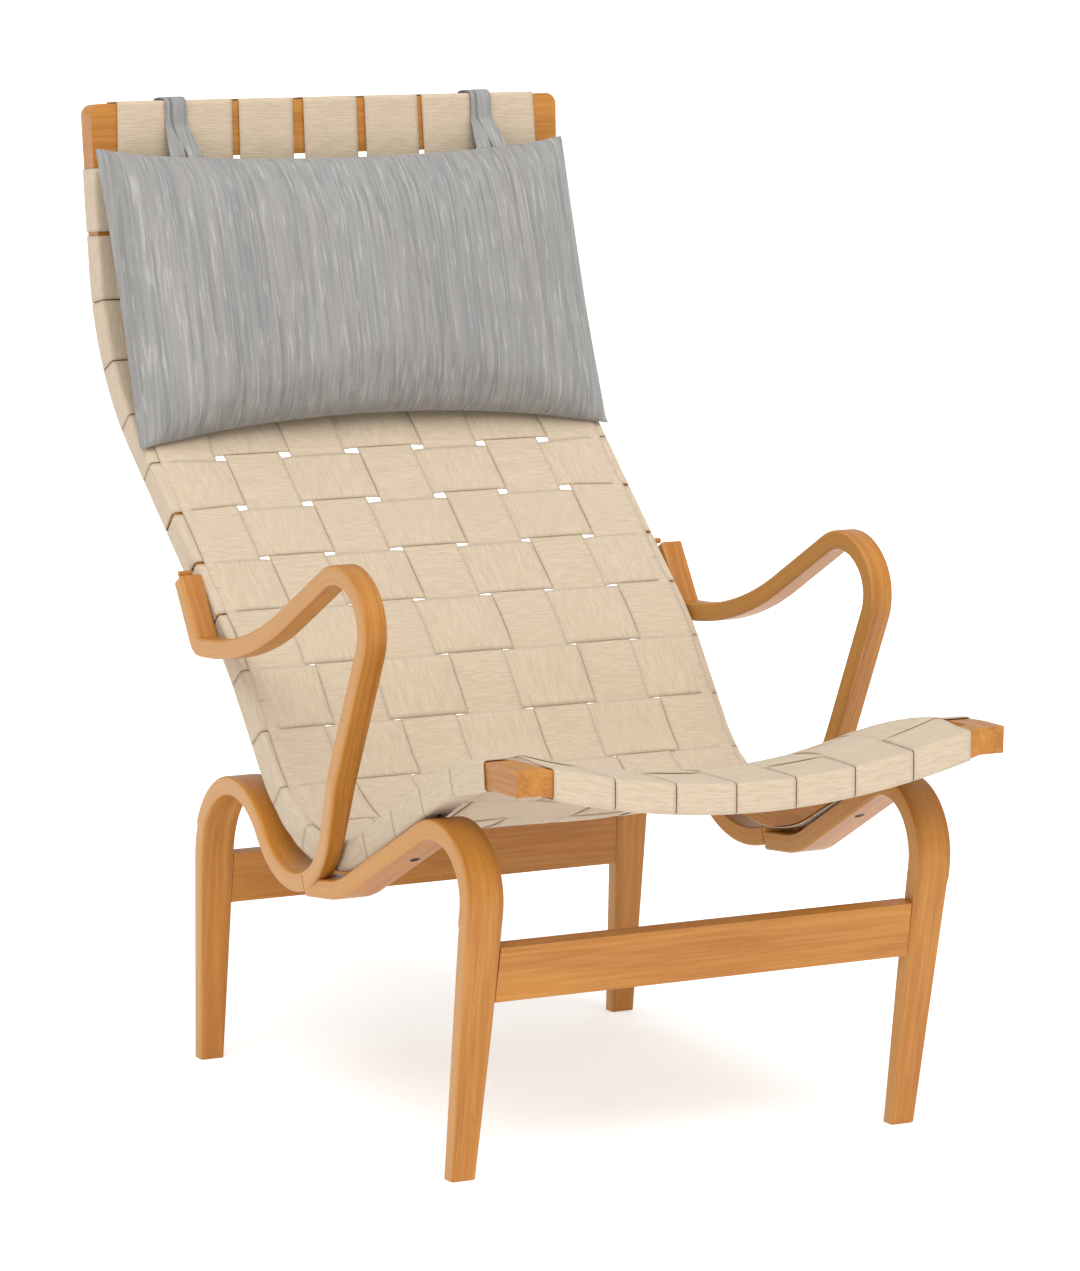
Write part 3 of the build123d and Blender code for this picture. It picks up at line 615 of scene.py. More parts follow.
@dataclass
class WovenWebbing:
    """The seven lengthwise and eighteen crosswise straps of the seat and back."""

    seat: SeatLine
    finish: bpy.types.Material
    width: float = 63.0
    thickness: float = 1.3
    half_step: float = 1.2
    lanes: int = 7
    rows: int = 18
    first_row: float = 95.5
    row_pitch: float = 70.4
    front_pitch: float = 64.4
    seat_pitch: float = 74.5
    back_pitch: float = 76.5
    top_pitch: float = 72.3
    seat_station: float = 450.0
    back_station: float = 980.0
    wrap_gap: float = 0.9
    fold_radius: float = 3.2
    segments_across: int = 12
    spacing: float = 5.0
    wander: float = 2.4
    fan: float = 1.045
    top_fan: float = 1.09
    top_rows: int = 13
    open_row: int = 12
    tight_gap: float = 1.2
    valley_station: float = 472.0
    crease: float = 1.1
    crease_pitch: float = 14.0
    crease_reach: float = 105.0
    crease_slant: float = 0.011
    steepness: float = 2.4
    front_tuck: float = 20.0
    front_flat: float = 42.0
    top_tuck: float = 34.0
    top_flat: float = 40.0
    rail_tuck: float = 24.0
    rail_flat: float = 16.0
    fan_reach: float = 60.0

    @property
    def low(self) -> float:
        """The level of a strap that lies on the rails."""
        return self.seat.half_rail + self.wrap_gap + self.thickness / 2

    @property
    def edge(self) -> float:
        """How far a folded strap stands off the rail's side."""
        return self.wrap_gap + self.thickness / 2

    def lane_pitch(self, s: float) -> float:
        """The spacing of the lengthwise straps."""
        if s < self.seat_station:
            return ramp(s, (0.0, self.front_pitch), (self.seat_station, self.seat_pitch))
        if s < self.back_station:
            return ramp(s, (self.seat_station, self.seat_pitch), (self.back_station, self.back_pitch))
        return ramp(s, (self.back_station, self.back_pitch), (self.seat.length, self.top_pitch))

    def lane_x(self, lane: int, s: float) -> float:
        """The middle of a lengthwise strap, which strays a little towards the top."""
        stray = self.wander * math.sin(1.7 * lane + 0.6) * ease(s / self.seat.length)
        return lane * self.lane_pitch(s) + stray

    def row_gap(self, number: int) -> float:
        """The gap behind a crosswise strap, open under the pillow and closed lower down."""
        slack = self.row_pitch - self.width
        if number == self.rows:
            return self.tight_gap
        if number < self.open_row:
            return ramp(number, (self.open_row - 3.0, self.tight_gap), (self.open_row, slack * 0.8))
        return slack

    def ripple(self, s: float, u: float) -> float:
        """The small creases of a strap that is drawn in over the valley of a rail."""
        gather = math.exp(-(((s - self.valley_station) / self.crease_reach) ** 2))
        turns = (u + self.crease_slant * s) / self.crease_pitch
        return self.crease * gather * math.sin(2 * math.pi * turns)

    def wave(self, turns: float) -> float:
        """The over and under of the weave, +1 at even whole turns and -1 at odd ones."""
        swing = self.steepness * math.cos(math.pi * turns)
        return math.tanh(swing) / math.tanh(self.steepness)

    def _fold(self, corners: Sequence[Pair]) -> list[Pair]:
        """Sample a fold with rounded corners."""
        line = BentLine(corners, [self.fold_radius] * (len(corners) - 2))
        count = max(int(line.length / (self.spacing * 0.4)), 8)
        return [line.at(line.length * index / count)[:2] for index in range(count + 1)]

    def _strap(
        self, name: str, path: Sequence[Any], laid: float, surface: Callable[[Any, float], Vector]
    ) -> bpy.types.Object:
        """Lay a flat grid along a path and thicken it.

        Args:
            name: The strap's name.
            path: Stations along the strap.
            laid: The width that the strap is laid at, in millimetres; not used.
            surface: The point of a station at a distance across the strap.

        Returns:
            The strap.
        """
        bm = bmesh.new()
        across, along = self.segments_across, len(path) - 1
        bmesh.ops.create_grid(bm, x_segments=across, y_segments=along, size=0.5)
        reach = [0.0]
        for before, after in zip(path, path[1:]):
            reach.append(reach[-1] + (surface(after, 0.0) - surface(before, 0.0)).length)
        place: dict[bmesh.types.BMVert, Pair] = {}
        for vert in bm.verts:
            u = vert.co.x * self.width
            station = round((vert.co.y + 0.5) * along)
            place[vert] = (u * MM, reach[station])
            vert.co = surface(path[station], u)
        layer = bm.loops.layers.uv.new("strap")
        for face in bm.faces:
            for loop in face.loops:
                loop[layer].uv = place[loop.vert]
        bmesh.ops.recalc_face_normals(bm, faces=bm.faces)
        strap = publish(name, bm, self.finish)
        shell = strap.modifiers.new("thickness", "SOLIDIFY")
        shell.thickness = self.thickness * MM
        shell.offset = 0.0
        laid * MM
        return strap

    def lane(self, number: int) -> bpy.types.Object:
        """Build a lengthwise strap.

        Args:
            number: The strap's place from the sitter's right, starting at 1.

        Returns:
            The strap.
        """
        lane = number - 1 - self.lanes // 2
        low, edge, length = self.low, self.edge, self.seat.length
        start, end = self.front_flat, length - self.top_flat
        path = self._fold([(self.front_tuck, -low), (-edge, -low), (-edge, low), (start, low)])
        count = int((end - start) / self.spacing)
        mid = low + self.half_step
        for index in range(1, count):
            s = start + (end - start) * index / count
            row = (s - self.first_row) / self.row_pitch
            held = ease((row + 0.75) / 0.5) * ease((self.rows - 0.25 - row) / 0.5)
            weave = mid + self.half_step * self.wave(row + lane)
            path.append((s, low + (weave - low) * held))
        past, tucked = length + edge, length - self.top_tuck
        path += self._fold([(end, low), (past, low), (past, -low), (tucked, -low)])

        def surface(station: Pair, u: float) -> Vector:
            """The strap's point at a station, u across."""
            s, level = station
            return self.seat.point(s, self.lane_x(lane, s) + u, level)

        return self._strap(f"webbing_lengthwise_{number}", path, self.width, surface)

    def row(self, number: int) -> bpy.types.Object:
        """Build a crosswise strap.

        Args:
            number: The strap's place from the front, starting at 1.

        Returns:
            The strap.
        """
        index = number - 1
        s = self.first_row + self.row_pitch * index
        pitch = self.lane_pitch(s)
        low, edge = self.low, self.edge
        fold = self._fold([(-self.rail_tuck, -low), (edge, -low), (edge, low), (-self.rail_flat, low)])
        inner = self.seat.rail_x(self.seat.line.at(s)[1]) - self.rail_flat
        count = int(2 * inner / self.spacing)
        mid = low + self.half_step
        fan = self.top_fan if number >= self.top_rows else self.fan
        behind = (self.row_pitch - self.row_gap(number)) / self.width
        before = (self.row_pitch - self.row_gap(number - 1)) / self.width
        spread = max(fan / max(behind, before), 1.0)
        path: list[tuple[int, float, float]] = [(-1, out, level) for out, level in fold]
        for place in range(1, count):
            x = -inner + 2 * inner * place / count
            lane = x / pitch
            held = ease((self.lanes / 2 + 0.12 - abs(lane)) / 0.18)
            weave = mid - self.half_step * self.wave(lane + index)
            path.append((0, x, low + (weave - low) * held))
        path += [(1, out, level) for out, level in reversed(fold)]

        def surface(station: tuple[int, float, float], u: float) -> Vector:
            """The strap's point at a station, u across."""
            side, x, level = station
            u *= behind if u > 0 else before
            if side:
                u *= spread
                swell = abs(self.ripple(s + u, u)) if x > 0 else 0.0
                x = side * (self.seat.rail_x(self.seat.line.at(s + u)[1]) + x + swell)
            else:
                u *= 1 + (spread - 1) * ease((abs(x) - inner + self.fan_reach) / self.fan_reach)
            return self.seat.point(s + u, x, level)

        laid = self.width * (behind + before) / 2
        return self._strap(f"webbing_crosswise_{number:02d}", path, laid, surface)

    def build(self) -> None:
        """Weave every strap in place of its CAD solid."""
        for number in range(1, self.lanes + 1):
            place_on(self.lane(number), "frame", "webbing", f"lengthwise_strap_{number}")
        for number in range(1, self.rows + 1):
            place_on(self.row(number), "frame", "webbing", f"crosswise_strap_{number:02d}")


# Bent wood


@dataclass(frozen=True)
class Section:
    """A cross-section of a strip: where it is, which way it faces and how big it is."""

    centre: Vector
    facing: Vector
    inner: float
    outer: float
    thickness: float
    shift: float = 0.0


@dataclass
class BentStrip:
    """A strip of bent wood with eased edges, swept along stations of a line."""

    name: str
    stations: Sequence[tuple[float, Section]]
    side: Side
    finish: bpy.types.Material
    edge_radius: float = 3.0
    edge_steps: int = 3
    end_ease: float = 1.6
    grain_step: float = 7.0
    grain_base: float = 300.0

    def _profile(self, width: float, thickness: float) -> list[Pair]:
        """The rounded outline of a section, as offsets across and through it."""
        points: list[Pair] = []
        a, b = width / 2 - self.edge_radius, thickness / 2 - self.edge_radius
        for quarter, (sign_a, sign_b) in enumerate(((1, 1), (-1, 1), (-1, -1), (1, -1))):
            for turn in range(self.edge_steps + 1):
                angle = math.radians(90 * (quarter + turn / self.edge_steps))
                across = sign_a * a + self.edge_radius * math.cos(angle)
                through = sign_b * b + self.edge_radius * math.sin(angle)
                points.append((across, through))
        return points

    def build(self) -> bpy.types.Object:
        """Sweep the strip.

        Returns:
            The strip.
        """
        bm = bmesh.new()
        space = bm.verts.layers.float_vector.new("strip_space")
        order = bm.verts.layers.int.new("order")
        count = 4 * (self.edge_steps + 1)
        ring = bmesh.ops.create_circle(bm, cap_ends=False, segments=count, radius=1.0)["verts"]
        for index, vert in enumerate(ring):
            vert[order] = index
        edges = list(bm.edges)
        first = edges
        for number, (s, section) in enumerate(self.stations):
            if number:
                grown = bmesh.ops.extrude_edge_only(bm, edges=edges)["geom"]
                ring = [item for item in grown if isinstance(item, bmesh.types.BMVert)]
                kept = set(ring)
                edges = [e for e in grown if isinstance(e, bmesh.types.BMEdge) and set(e.verts) <= kept]
            outline = self._profile(section.outer - section.inner, section.thickness)
            middle = (section.outer + section.inner) / 2
            for vert in ring:
                across, through = outline[vert[order]]
                place = section.centre + section.facing * (through + section.shift)
                vert.co = Vector((self.side.value * (middle + across), place.y, place.z)) * MM
                along = s + self.grain_step * self.side.value
                depth = through + section.shift + self.grain_base
                vert[space] = Vector((along, across, depth)) * MM
        ends = bmesh.ops.holes_fill(bm, edges=first + edges, sides=0)["faces"]
        rims = list({edge for face in ends for edge in face.edges})
        bmesh.ops.bevel(
            bm,
            geom=rims,
            offset=self.end_ease * MM,
            offset_type="OFFSET",
            segments=2,
            profile=0.5,
            affect="EDGES",
            material=-1,
            clamp_overlap=True,
        )
        bmesh.ops.recalc_face_normals(bm, faces=bm.faces)
        strip = publish(self.name, bm, self.finish)
        shading = strip.modifiers.new("shading", "WEIGHTED_NORMAL")
        shading.weight = 80
        return strip


def section_on(line: BentLine, s: float, widths: Pair, thickness: float, shift: float = 0.0) -> Section:
    """Set a section square on a line."""
    y, z, heading = line.at(s)
    facing = Vector((0.0, -math.sin(heading), math.cos(heading)))
    return Section(Vector((0.0, y, z)), facing, *widths, thickness, shift)


@dataclass
class SideFrames:
    """The bent legs, bows and arms on both sides of the chair."""

    seat: SeatLine
    finish: bpy.types.Material
    thickness: float = 19.5
    foot_thickness: float = 18.0
    taper_z: float = 250.0
    knee: Pair = (225.0, 264.0)
    foot: Pair = (231.0, 257.0)
    valley: Pair = (243.0, 280.0)
    front_foot_y: float = -330.0
    front_lean: float = 10.65
    rear_lean: float = 5.0
    bow_slope: float = 27.65
    bow_drop: float = 15.6
    bow_bend_y: float = -133.0
    scarf_y: float = -62.0
    arm_width: float = 24.6
    arm_inner: float = 268.27
    post_inner: float = 264.69
    post_notch: float = 253.0
    post_straight: float = 360.0
    post_turn: float = 96.0
    notch_start: float = 8.0
    notch_reach: float = 11.0
    bow_end: Pair = (67.4, -6.0)
    front_radii: Pair = (60.0, 110.0)
    tab: Pair = (206.5, 512.0)
    side_runs: tuple[Pair, ...] = (
        (76.3, -123.0),
        (120.0, 177.0),
        (252.8, 151.4),
        (78.1, 225.0),
        (402.5, -63.7),
        (383.8, 47.0),
    )
    side_radii: tuple[float, ...] = (12.0, 430.0, 60.0, 45.0, 107.0, 100.0)
    rear_end_ease: float = 0.8
    spacing: float = 6.0

    def _narrow(self, z: float, drift: Pair) -> Pair:
        """The inner and outer sides of a leg at a height, never wider than its bow."""
        inner = ramp(z, (0.0, self.foot[0]), (self.taper_z, self.knee[0]))
        outer = ramp(z, (0.0, self.foot[1]), (self.taper_z, self.knee[1]))
        return (max(inner, drift[0]), min(outer, drift[1]))

    def _drift(self, y: float, knee_y: float) -> Pair:
        """The inner and outer sides of a bow between its knee and the valley."""
        inner = ramp(abs(y - knee_y), (0.0, self.knee[0]), (abs(self.scarf_y - knee_y), self.valley[0]))
        outer = ramp(abs(y - knee_y), (0.0, self.knee[1]), (abs(self.scarf_y - knee_y), self.valley[1]))
        return (inner, outer)

    def _thin(self, z: float, lean: float) -> Pair:
        """The thickness of a leg at a height, and how far its middle moves."""
        full = self.thickness / math.cos(math.radians(lean))
        lost = (full - self.foot_thickness) * max(1 - z / self.taper_z, 0.0)
        return (self.thickness - lost, lost / 2)

    def _stops(self, start: float, end: float) -> list[float]:
        """Distances along a line at about the spacing."""
        count = max(int((end - start) / self.spacing), 2)
        return [start + (end - start) * index / count for index in range(count + 1)]

    def _leg(self, line: BentLine, knee_y: float, lean: float, start: float, end: float, fore: bool) -> list:
        """The stations of a leg and its bow.

        Args:
            line: The centre line.
            knee_y: Where the bow's sides begin to drift.
            lean: The leg's lean in degrees.
            start: Where the strip begins on the line.
            end: Where it ends.
            fore: Whether it is a front leg, which begins at its foot.

        Returns:
            Distances and sections.
        """
        stations = []
        for s in self._stops(start, end):
            y, z, heading = line.at(s)
            upright = abs(math.sin(heading)) > 0.9
            drift = self._drift(min(y, self.scarf_y) if fore else max(y, self.scarf_y), knee_y)
            beyond = y < knee_y if fore else y > knee_y
            if beyond:
                drift = self.knee
            thickness, shift = self.thickness, 0.0
            if upright and z < self.taper_z:
                drift = self._narrow(max(z, 0.0), drift)
                thickness, lost = self._thin(max(z, 0.0), lean)
                shift = lost if fore else -lost
            section = section_on(line, s, drift, thickness, shift)
            if z < 1.0:
                section = self._on_floor(section, y, z, heading)
            stations.append((s, section))
        return stations

    @staticmethod
    def _on_floor(section: Section, y: float, z: float, heading: float) -> Section:
        """Turn a foot's last section flat on the floor."""
        slip = -z / math.sin(heading)
        centre = Vector((0.0, y + math.cos(heading) * slip, 0.0))
        along = 1.0 if section.facing.y > 0 else -1.0
        stretch = 1.0 / abs(math.sin(heading))
        facing = Vector((0.0, along, 0.0)) * stretch
        return Section(centre, facing, section.inner, section.outer, section.thickness, section.shift)

    @property
    def bow_origin(self) -> Pair:
        """A point of the front bow's centre line, under the nose of the seat."""
        nose = walk(self.seat.front, self.seat.runs)[1]
        slope = -self.seat.runs[1][1]
        under = step(nose, self.bow_drop + self.thickness, -90 - slope)
        return step(under, self.thickness / 2, 90 - self.bow_slope)

    def front_leg(self, side: Side) -> bpy.types.Object:
        """Build a front leg with its bow.

        Args:
            side: The side of the chair.

        Returns:
            The leg.
        """
        under = self.bow_origin
        foot = (self.front_foot_y, 0.0)
        knee = meet(foot, 90 + self.front_lean, under, -self.bow_slope)
        bend = meet(under, -self.bow_slope, (self.bow_bend_y, 0.0), 90.0)
        line = BentLine([foot, knee, bend, step(bend, *self.bow_end)], self.front_radii)
        stations = self._leg(line, knee[0], self.front_lean, 0.0, line.length, True)
        return BentStrip(f"front_leg_{side.word}_strip", stations, side, self.finish).build()

    def _side_line(self) -> tuple[BentLine, Pair]:
        """The line from the arm's tab to the rear foot, and that foot."""
        corners = walk(self.tab, self.side_runs)
        foot = meet(corners[-1], -90 + self.rear_lean, (0.0, 0.0), 0.0)
        return (BentLine([*corners, foot], self.side_radii), foot)

    def arm_and_rear_leg(self, side: Side) -> tuple[bpy.types.Object, bpy.types.Object]:
        """Build an arm, and the rear leg that carries its line on.

        Args:
            side: The side of the chair.

        Returns:
            The arm and the rear leg.
        """
        line, foot = self._side_line()
        valley = line.runs[-4].begins
        scarf = line.nearest(lambda y, z: y - self.scarf_y, valley, line.runs[-2].begins)
        low = line.at(scarf)[1]
        stations = []
        for s in self._stops(0.0, scarf):
            z = line.at(s)[1]
            turned = (self.post_straight - self.post_turn, self.post_inner)
            inner = ramp(z, turned, (self.post_straight, self.arm_inner))
            notch = ease((z - self.post_notch + self.notch_start) / self.notch_reach)
            inner = self.valley[0] + (inner - self.valley[0]) * notch
            outer = ramp(z, (low, self.valley[1]), (self.post_straight, self.arm_inner + self.arm_width))
            stations.append((s, section_on(line, s, (inner, outer), self.thickness)))
        arm = BentStrip(f"arm_{side.word}_strip", stations, side, self.finish).build()
        stations = self._leg(line, foot[0], self.rear_lean, scarf, line.length, False)
        name = f"rear_leg_{side.word}_strip"
        leg = BentStrip(name, stations, side, self.finish, end_ease=self.rear_end_ease).build()
        return (arm, leg)

    def build(self) -> None:
        """Build both sides in place of their CAD solids."""
        for side in Side:
            place_on(self.front_leg(side), "frame", "bentwood", f"front_leg_{side.word}")
            arm, leg = self.arm_and_rear_leg(side)
            place_on(arm, "frame", "bentwood", f"arm_{side.word}")
            place_on(leg, "frame", "bentwood", f"rear_leg_{side.word}")


# Boards and fixings that keep their CAD shape


@dataclass
class KeptNodes:
    """CAD nodes whose shape is right, with their finishes."""

    finishes: Finishes

    def dress(self) -> None:
        """Give each kept node its material."""
        nodes = frame["nodes"]
        dowels = [name for name in nodes if name.endswith("_dowels")]
        boards = ["top_rail", "front_rail", "front_stretcher", "rear_stretcher"]
        plan = {
            self.finishes.cross_board: (*boards, *dowels),
            self.finishes.long_board: ("side_rail_left", "side_rail_right"),
            self.finishes.steel: ("bow_screws",),
        }
        for material, names in plan.items():
            for name in names:
                nodes[name].data.materials.clear()
                nodes[name].data.materials.append(material)
                log.info("dressed %s", name)


@dataclass
class BowScrews:
    """The sunk screw heads under the front bows."""

    seat: SeatLine
    sides: SideFrames
    finish: bpy.types.Material
    stations: tuple[float, ...] = (201.1, 271.5)
    rail_middle: float = 13.5
    radius: float = 5.2
    depth: float = 1.2
    proud: float = 0.3
    rim: float = 1.6
    recess: float = 0.9
    edge: float = 0.25
    segments: int = 28

    def build(self) -> bpy.types.Object:
        """Build all the heads as one piece.

        Returns:
            The heads.
        """
        slope = self.sides.bow_slope
        under = step(self.sides.bow_origin, self.sides.thickness / 2, -90 - slope)
        drive = Vector((0.0, math.sin(math.radians(slope)), math.cos(math.radians(slope))))
        bm = bmesh.new()
        for side in Side:
            for s in self.stations:
                y, z, _ = self.seat.line.at(s)
                head_y, head_z = meet(under, -slope, (y, z), 90 - slope)
                x = side.value * (self.seat.rail_x(z) - self.rail_middle)
                place = Vector((x, head_y, head_z)) - drive * (self.proud - self.depth / 2)
                turn = drive.to_track_quat("Z", "Y").to_matrix().to_4x4()
                made = bmesh.ops.create_cone(
                    bm,
                    cap_ends=True,
                    segments=self.segments,
                    radius1=self.radius * MM,
                    radius2=self.radius * MM,
                    depth=self.depth * MM,
                    matrix=Matrix.Translation(place * MM) @ turn,
                )
                caps = {face for vert in made["verts"] for face in vert.link_faces if len(face.verts) > 4}
                outer = min(caps, key=lambda face: face.calc_center_median().dot(drive))
                bmesh.ops.inset_individual(bm, faces=[outer], thickness=self.rim * MM, depth=0.0)
                bmesh.ops.translate(bm, verts=list(outer.verts), vec=drive * (self.recess * MM))
        bmesh.ops.recalc_face_normals(bm, faces=bm.faces)
        heads = publish("bow_screw_heads", bm, self.finish)
        shading = heads.modifiers.new("edges", "BEVEL")
        shading.width = self.edge * MM
        shading.segments = 2
        place_on(heads, "frame", "screw")
        return heads


# Head pillow and its loops


@dataclass
class HeadPillow:
    """The hung pillow: a sewn cover filled by simulation, flat where it rests on the webbing."""

    seat: SeatLine
    finish: bpy.types.Material
    centre: tuple[float, float, float] = (0.0, 382.0, 791.5)
    lean: float = 16.0
    width: float = 572.0
    top_corner: float = 158.0
    top_dip: float = 12.0
    bottom_corner: float = 177.0
    bottom_rise: float = 25.0
    stray: float = 9.0
    front_crown: float = 44.0
    back_crown: float = 44.0
    side_draw: float = 3.0
    settle: float = 0.10
    cell: float = 7.5
    cap: float = 8.0
    frames: int = 20
    pressure: float = 4.0
    swell: float = 0.46
    seam: float = 0.2
    rest_level: float = 19.0
    lowest_station: float = 800.0

    @property
    def axes(self) -> tuple[Vector, Vector]:
        """The pillow's upward and forward directions."""
        lean = math.radians(self.lean)
        return (Vector((0, math.sin(lean), math.cos(lean))), Vector((0, -math.cos(lean), math.sin(lean))))

    def hem(self, share: float) -> float:
        """The top hem's height above the pillow's middle, at a share of the half width."""
        return self.top_corner - self.top_dip * (1 - share * share)

    def _half(self, bm: bmesh.types.BMesh, crown: float) -> None:
        """Add the front or the back of the cover as a crowned grid."""
        up, forward = self.axes
        columns = int(self.width / self.cell)
        rows = int((self.top_corner + self.bottom_corner) / self.cell)
        verts = bmesh.ops.create_grid(bm, x_segments=columns, y_segments=rows, size=1.0)["verts"]
        for vert in verts:
            u, v = vert.co.x, vert.co.y
            x = u * (self.width / 2 - self.side_draw * (1 - v * v)) - self.stray * (v + 1) / 2
            foot = self.bottom_rise * (1 - u * u) - self.bottom_corner
            rise = foot + (self.hem(u) - foot) * (v + 1) / 2
            low = v + self.settle * (1 - v * v)
            full = max((1 - u**4) * (1 - low**4), 0.0) ** self.swell
            soft = 0.55 + 0.45 * max(1 - u * u, 0.0) ** 0.5 * (1 - 0.35 * low * low)
            place = Vector(self.centre) + up * rise + forward * (crown * full * soft)
            vert.co = (place + Vector((x, 0, 0))) * MM

    def build(self) -> bpy.types.Object:
        """Sew the cover, fill it and smooth it.

        Returns:
            The pillow.
        """
        bm = bmesh.new()
        self._half(bm, self.front_crown)
        self._half(bm, -self.back_crown)
        bmesh.ops.remove_doubles(bm, verts=bm.verts, dist=self.seam * MM)
        bmesh.ops.recalc_face_normals(bm, faces=bm.faces)
        pillow = publish("head_pillow_cover", bm, self.finish)
        self._fill(pillow)
        self._rest(pillow)
        smooth = pillow.modifiers.new("smooth", "SUBSURF")
        smooth.levels = 1
        smooth.render_levels = 1
        return pillow

    def _fill(self, pillow: bpy.types.Object) -> None:
        """Swell the cover with cloth simulation and keep each point near its start."""
        scene = bpy.context.scene
        start = [vert.co.copy() for vert in pillow.data.vertices]
        cloth = pillow.modifiers.new("filling", "CLOTH")
        settings = cloth.settings
        settings.quality = 6
        settings.mass = 0.25
        settings.tension_stiffness = 22.0
        settings.compression_stiffness = 22.0
        settings.shear_stiffness = 6.0
        settings.bending_stiffness = 0.35
        settings.use_pressure = True
        settings.uniform_pressure_force = self.pressure
        settings.effector_weights.gravity = 0.0
        cloth.point_cache.frame_start = 1
        cloth.point_cache.frame_end = self.frames
        for number in range(1, self.frames + 1):
            scene.frame_set(number)
        graph = bpy.context.evaluated_depsgraph_get()
        swollen = [vert.co.copy() for vert in pillow.evaluated_get(graph).to_mesh().vertices]
        pillow.modifiers.remove(cloth)
        scene.frame_set(1)
        for vert, before, after in zip(pillow.data.vertices, start, swollen):
            move = after - before
            limit = self.cap * MM
            if move.length > limit:
                move *= limit / move.length
            vert.co = before + move

    def _rest(self, pillow: bpy.types.Object) -> None:
        """Lay the back of the cover on the webbing wherever it would pass through it."""
        up, _ = self.axes
        line = self.seat.line
        for vert in pillow.data.vertices:
            y, z = vert.co.y / MM, vert.co.z / MM

            def along(line_y: float, line_z: float) -> float:
                """How far a point of the line is above the vertex."""
                return (line_y - y) * up.y + (line_z - z) * up.z

            line_y, line_z, heading = line.at(line.nearest(along, self.lowest_station, self.seat.length))
            level = (z - line_z) * math.cos(heading) - (y - line_y) * math.sin(heading)
            lift = max(self.rest_level - level, 0.0) * MM
            vert.co += Vector((0.0, -math.sin(heading), math.cos(heading))) * lift


@dataclass
class PillowLoops:
    """The two fabric loops that hang the pillow on the top rail."""

    seat: SeatLine
    pillow: HeadPillow
    cover: bpy.types.Object
    finish: bpy.types.Material
    x: float = 180.84
    width: float = 18.0
    tuck: float = 6.0
    base_spread: float = 10.0
    top_spread: float = 3.0
    thickness: float = 2.6
    tail: float = 44.0
    gap: float = 4.4
    lap: float = 1.4
    front_lift: float = 2.0
    rail_reach: float = 26.0
    bend: float = 7.0
    hem_steps: int = 10
    rail_steps: int = 24
    blend_station: int = 12
    join_station: int = 13
    turn_station: int = 20

    def _hem(self, x: float) -> Vector:
        """The top of the cover at a distance from the middle, in metres."""
        up, _ = self.pillow.axes
        near = [v.co for v in self.cover.data.vertices if abs(v.co.x - x * MM) < self.width * MM]
        return max(near, key=up.dot).copy()

    def _middle(self, base: Vector) -> list[Vector]:
        """The loop's line from the hem up, over the rail and down behind it."""
        length = self.seat.length
        front = self.seat.half_rail + self.gap + self.front_lift
        back = -self.seat.half_rail - self.gap
        top = length + self.gap
        corners = [(length - self.rail_reach, front), (top, front), (top, back), (length - self.tail, back)]
        over = BentLine(corners, (self.bend, self.bend))
        tops = []
        for index in range(self.rail_steps + 1):
            s, level, _ = over.at(over.length * index / self.rail_steps)
            tops.append(self.seat.point(s, 0.0, level))
        return [base.lerp(tops[0], index / self.hem_steps) for index in range(self.hem_steps)] + tops

    def build(self, side: Side) -> bpy.types.Object:
        """Build one loop of two bands that meet on the rail.

        Args:
            side: The side of the chair.

        Returns:
            The loop.
        """
        up, forward = self.pillow.axes
        base = self._hem(side.value * self.x) - up * (self.tuck * MM)
        base.x = 0.0
        middle = self._middle(base)
        last = len(middle) - 1
        bm = bmesh.new()
        for leg in (-1, 1):
            grid = bmesh.ops.create_grid(bm, x_segments=4, y_segments=last, size=0.5)["verts"]
            for vert in grid:
                station = round((vert.co.y + 0.5) * last)
                share = ease(station / self.join_station)
                spread = leg * (self.base_spread + (self.top_spread - self.base_spread) * share)
                x = side.value * self.x + spread + vert.co.x * self.width
                lift = forward * (leg * self.lap * share * MM) * (1 if station < self.turn_station else -1)
                vert.co = middle[station] + lift + Vector((x * MM, 0, 0))
        bmesh.ops.recalc_face_normals(bm, faces=bm.faces)
        loop = publish(f"pillow_loop_{side.word}_band", bm, self.finish)
        shell = loop.modifiers.new("thickness", "SOLIDIFY")
        shell.thickness = self.thickness * MM
        shell.offset = 0.0
        soft = loop.modifiers.new("soft", "SUBSURF")
        soft.levels = 1
        soft.render_levels = 1
        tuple(middle[self.blend_station])
        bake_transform(loop)
        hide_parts(f"pillow_loop_{side.word}")
        log.info("made %s between frame and pillow", loop.name)
        return loop


# Studio


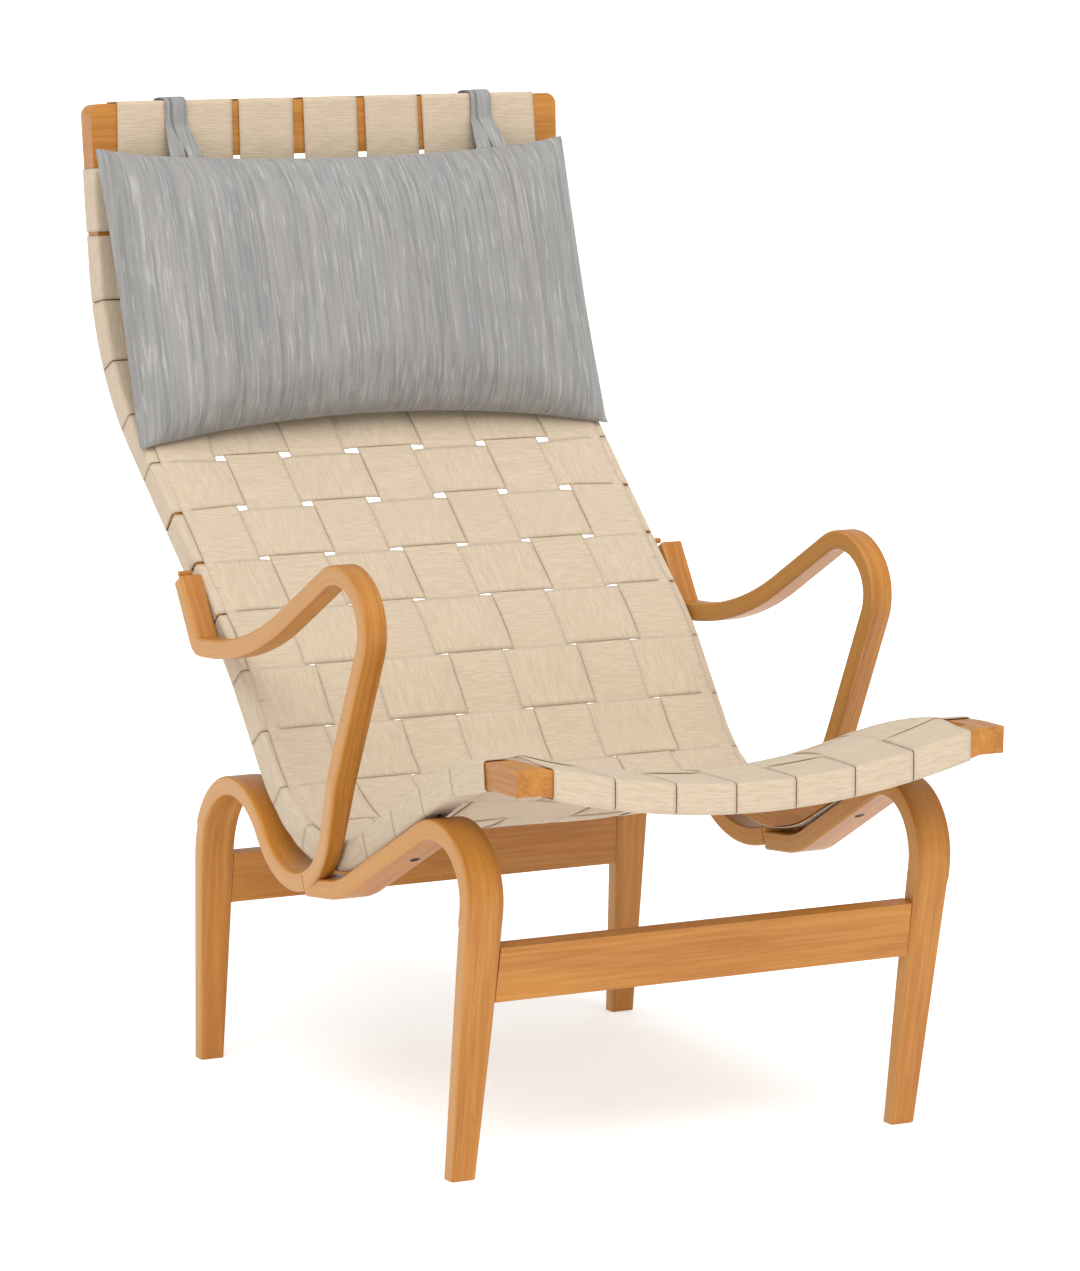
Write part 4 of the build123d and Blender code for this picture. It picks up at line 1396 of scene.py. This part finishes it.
@dataclass
class Studio:
    """Pale floor, soft lights and the photograph's camera."""

    finish: bpy.types.Material
    target: tuple[float, float, float] = (0.0, -0.032, 0.46523)
    azimuth: float = -27.8
    elevation: float = 8.54
    distance: float = 5.302
    lens: float = 149.15
    floor_size: float = 300.0
    ambient: float = 0.74
    key: float = 2.6
    key_spread: float = 55.0
    key_from: tuple[float, float, float] = (-0.20, -0.55, 0.82)

    def _sun(self) -> None:
        """Hang one broad soft light high in front, a little to the left."""
        data = bpy.data.lights.new("key", "SUN")
        data.energy = self.key
        data.angle = math.radians(self.key_spread)
        lamp = bpy.data.objects.new("key", data)
        lamp.rotation_euler = Vector(self.key_from).to_track_quat("Z", "Y").to_euler()
        bpy.context.scene.collection.objects.link(lamp)

    def build(self) -> None:
        """Set up the floor, the lights and the camera."""
        bm = bmesh.new()
        bmesh.ops.create_grid(bm, x_segments=1, y_segments=1, size=self.floor_size / 2)
        publish("studio_floor", bm, self.finish)
        world = bpy.data.worlds.new("studio")
        world.use_nodes = True
        backdrop = world.node_tree.nodes["Background"]
        backdrop.inputs["Color"].default_value = (1.0, 1.0, 1.0, 1.0)
        backdrop.inputs["Strength"].default_value = self.ambient
        bpy.context.scene.world = world
        self._sun()
        data = bpy.data.cameras.new("photo_camera")
        data.sensor_fit = "VERTICAL"
        data.sensor_height = 36.0
        data.lens = self.lens
        camera = bpy.data.objects.new("photo_camera", data)
        turn, rise = math.radians(self.azimuth), math.radians(self.elevation)
        back = Vector((math.sin(turn) * math.cos(rise), -math.cos(turn) * math.cos(rise), math.sin(rise)))
        camera.location = Vector(self.target) + back * self.distance
        camera.rotation_euler = back.to_track_quat("Z", "Y").to_euler()
        bpy.context.scene.collection.objects.link(camera)
        bpy.context.scene.camera = camera
        bpy.context.scene.view_settings.view_transform = "Standard"


def main() -> None:
    """Build the whole scene."""
    logging.basicConfig(level=logging.INFO)
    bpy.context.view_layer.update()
    finishes = Finishes()
    Studio(finishes.floor).build()
    seat = SeatLine()
    KeptNodes(finishes).dress()
    sides = SideFrames(seat, finishes.bent)
    sides.build()
    BowScrews(seat, sides, finishes.steel).build()
    WovenWebbing(seat, finishes.webbing).build()
    pillow = HeadPillow(seat, finishes.cloth)
    cover = pillow.build()
    loops = PillowLoops(seat, pillow, cover, finishes.cloth)
    for side in Side:
        loops.build(side)
    place_on(cover, "pillow", "pillow_fabric", "head_pillow")


if __name__ == "__main__":
    main()
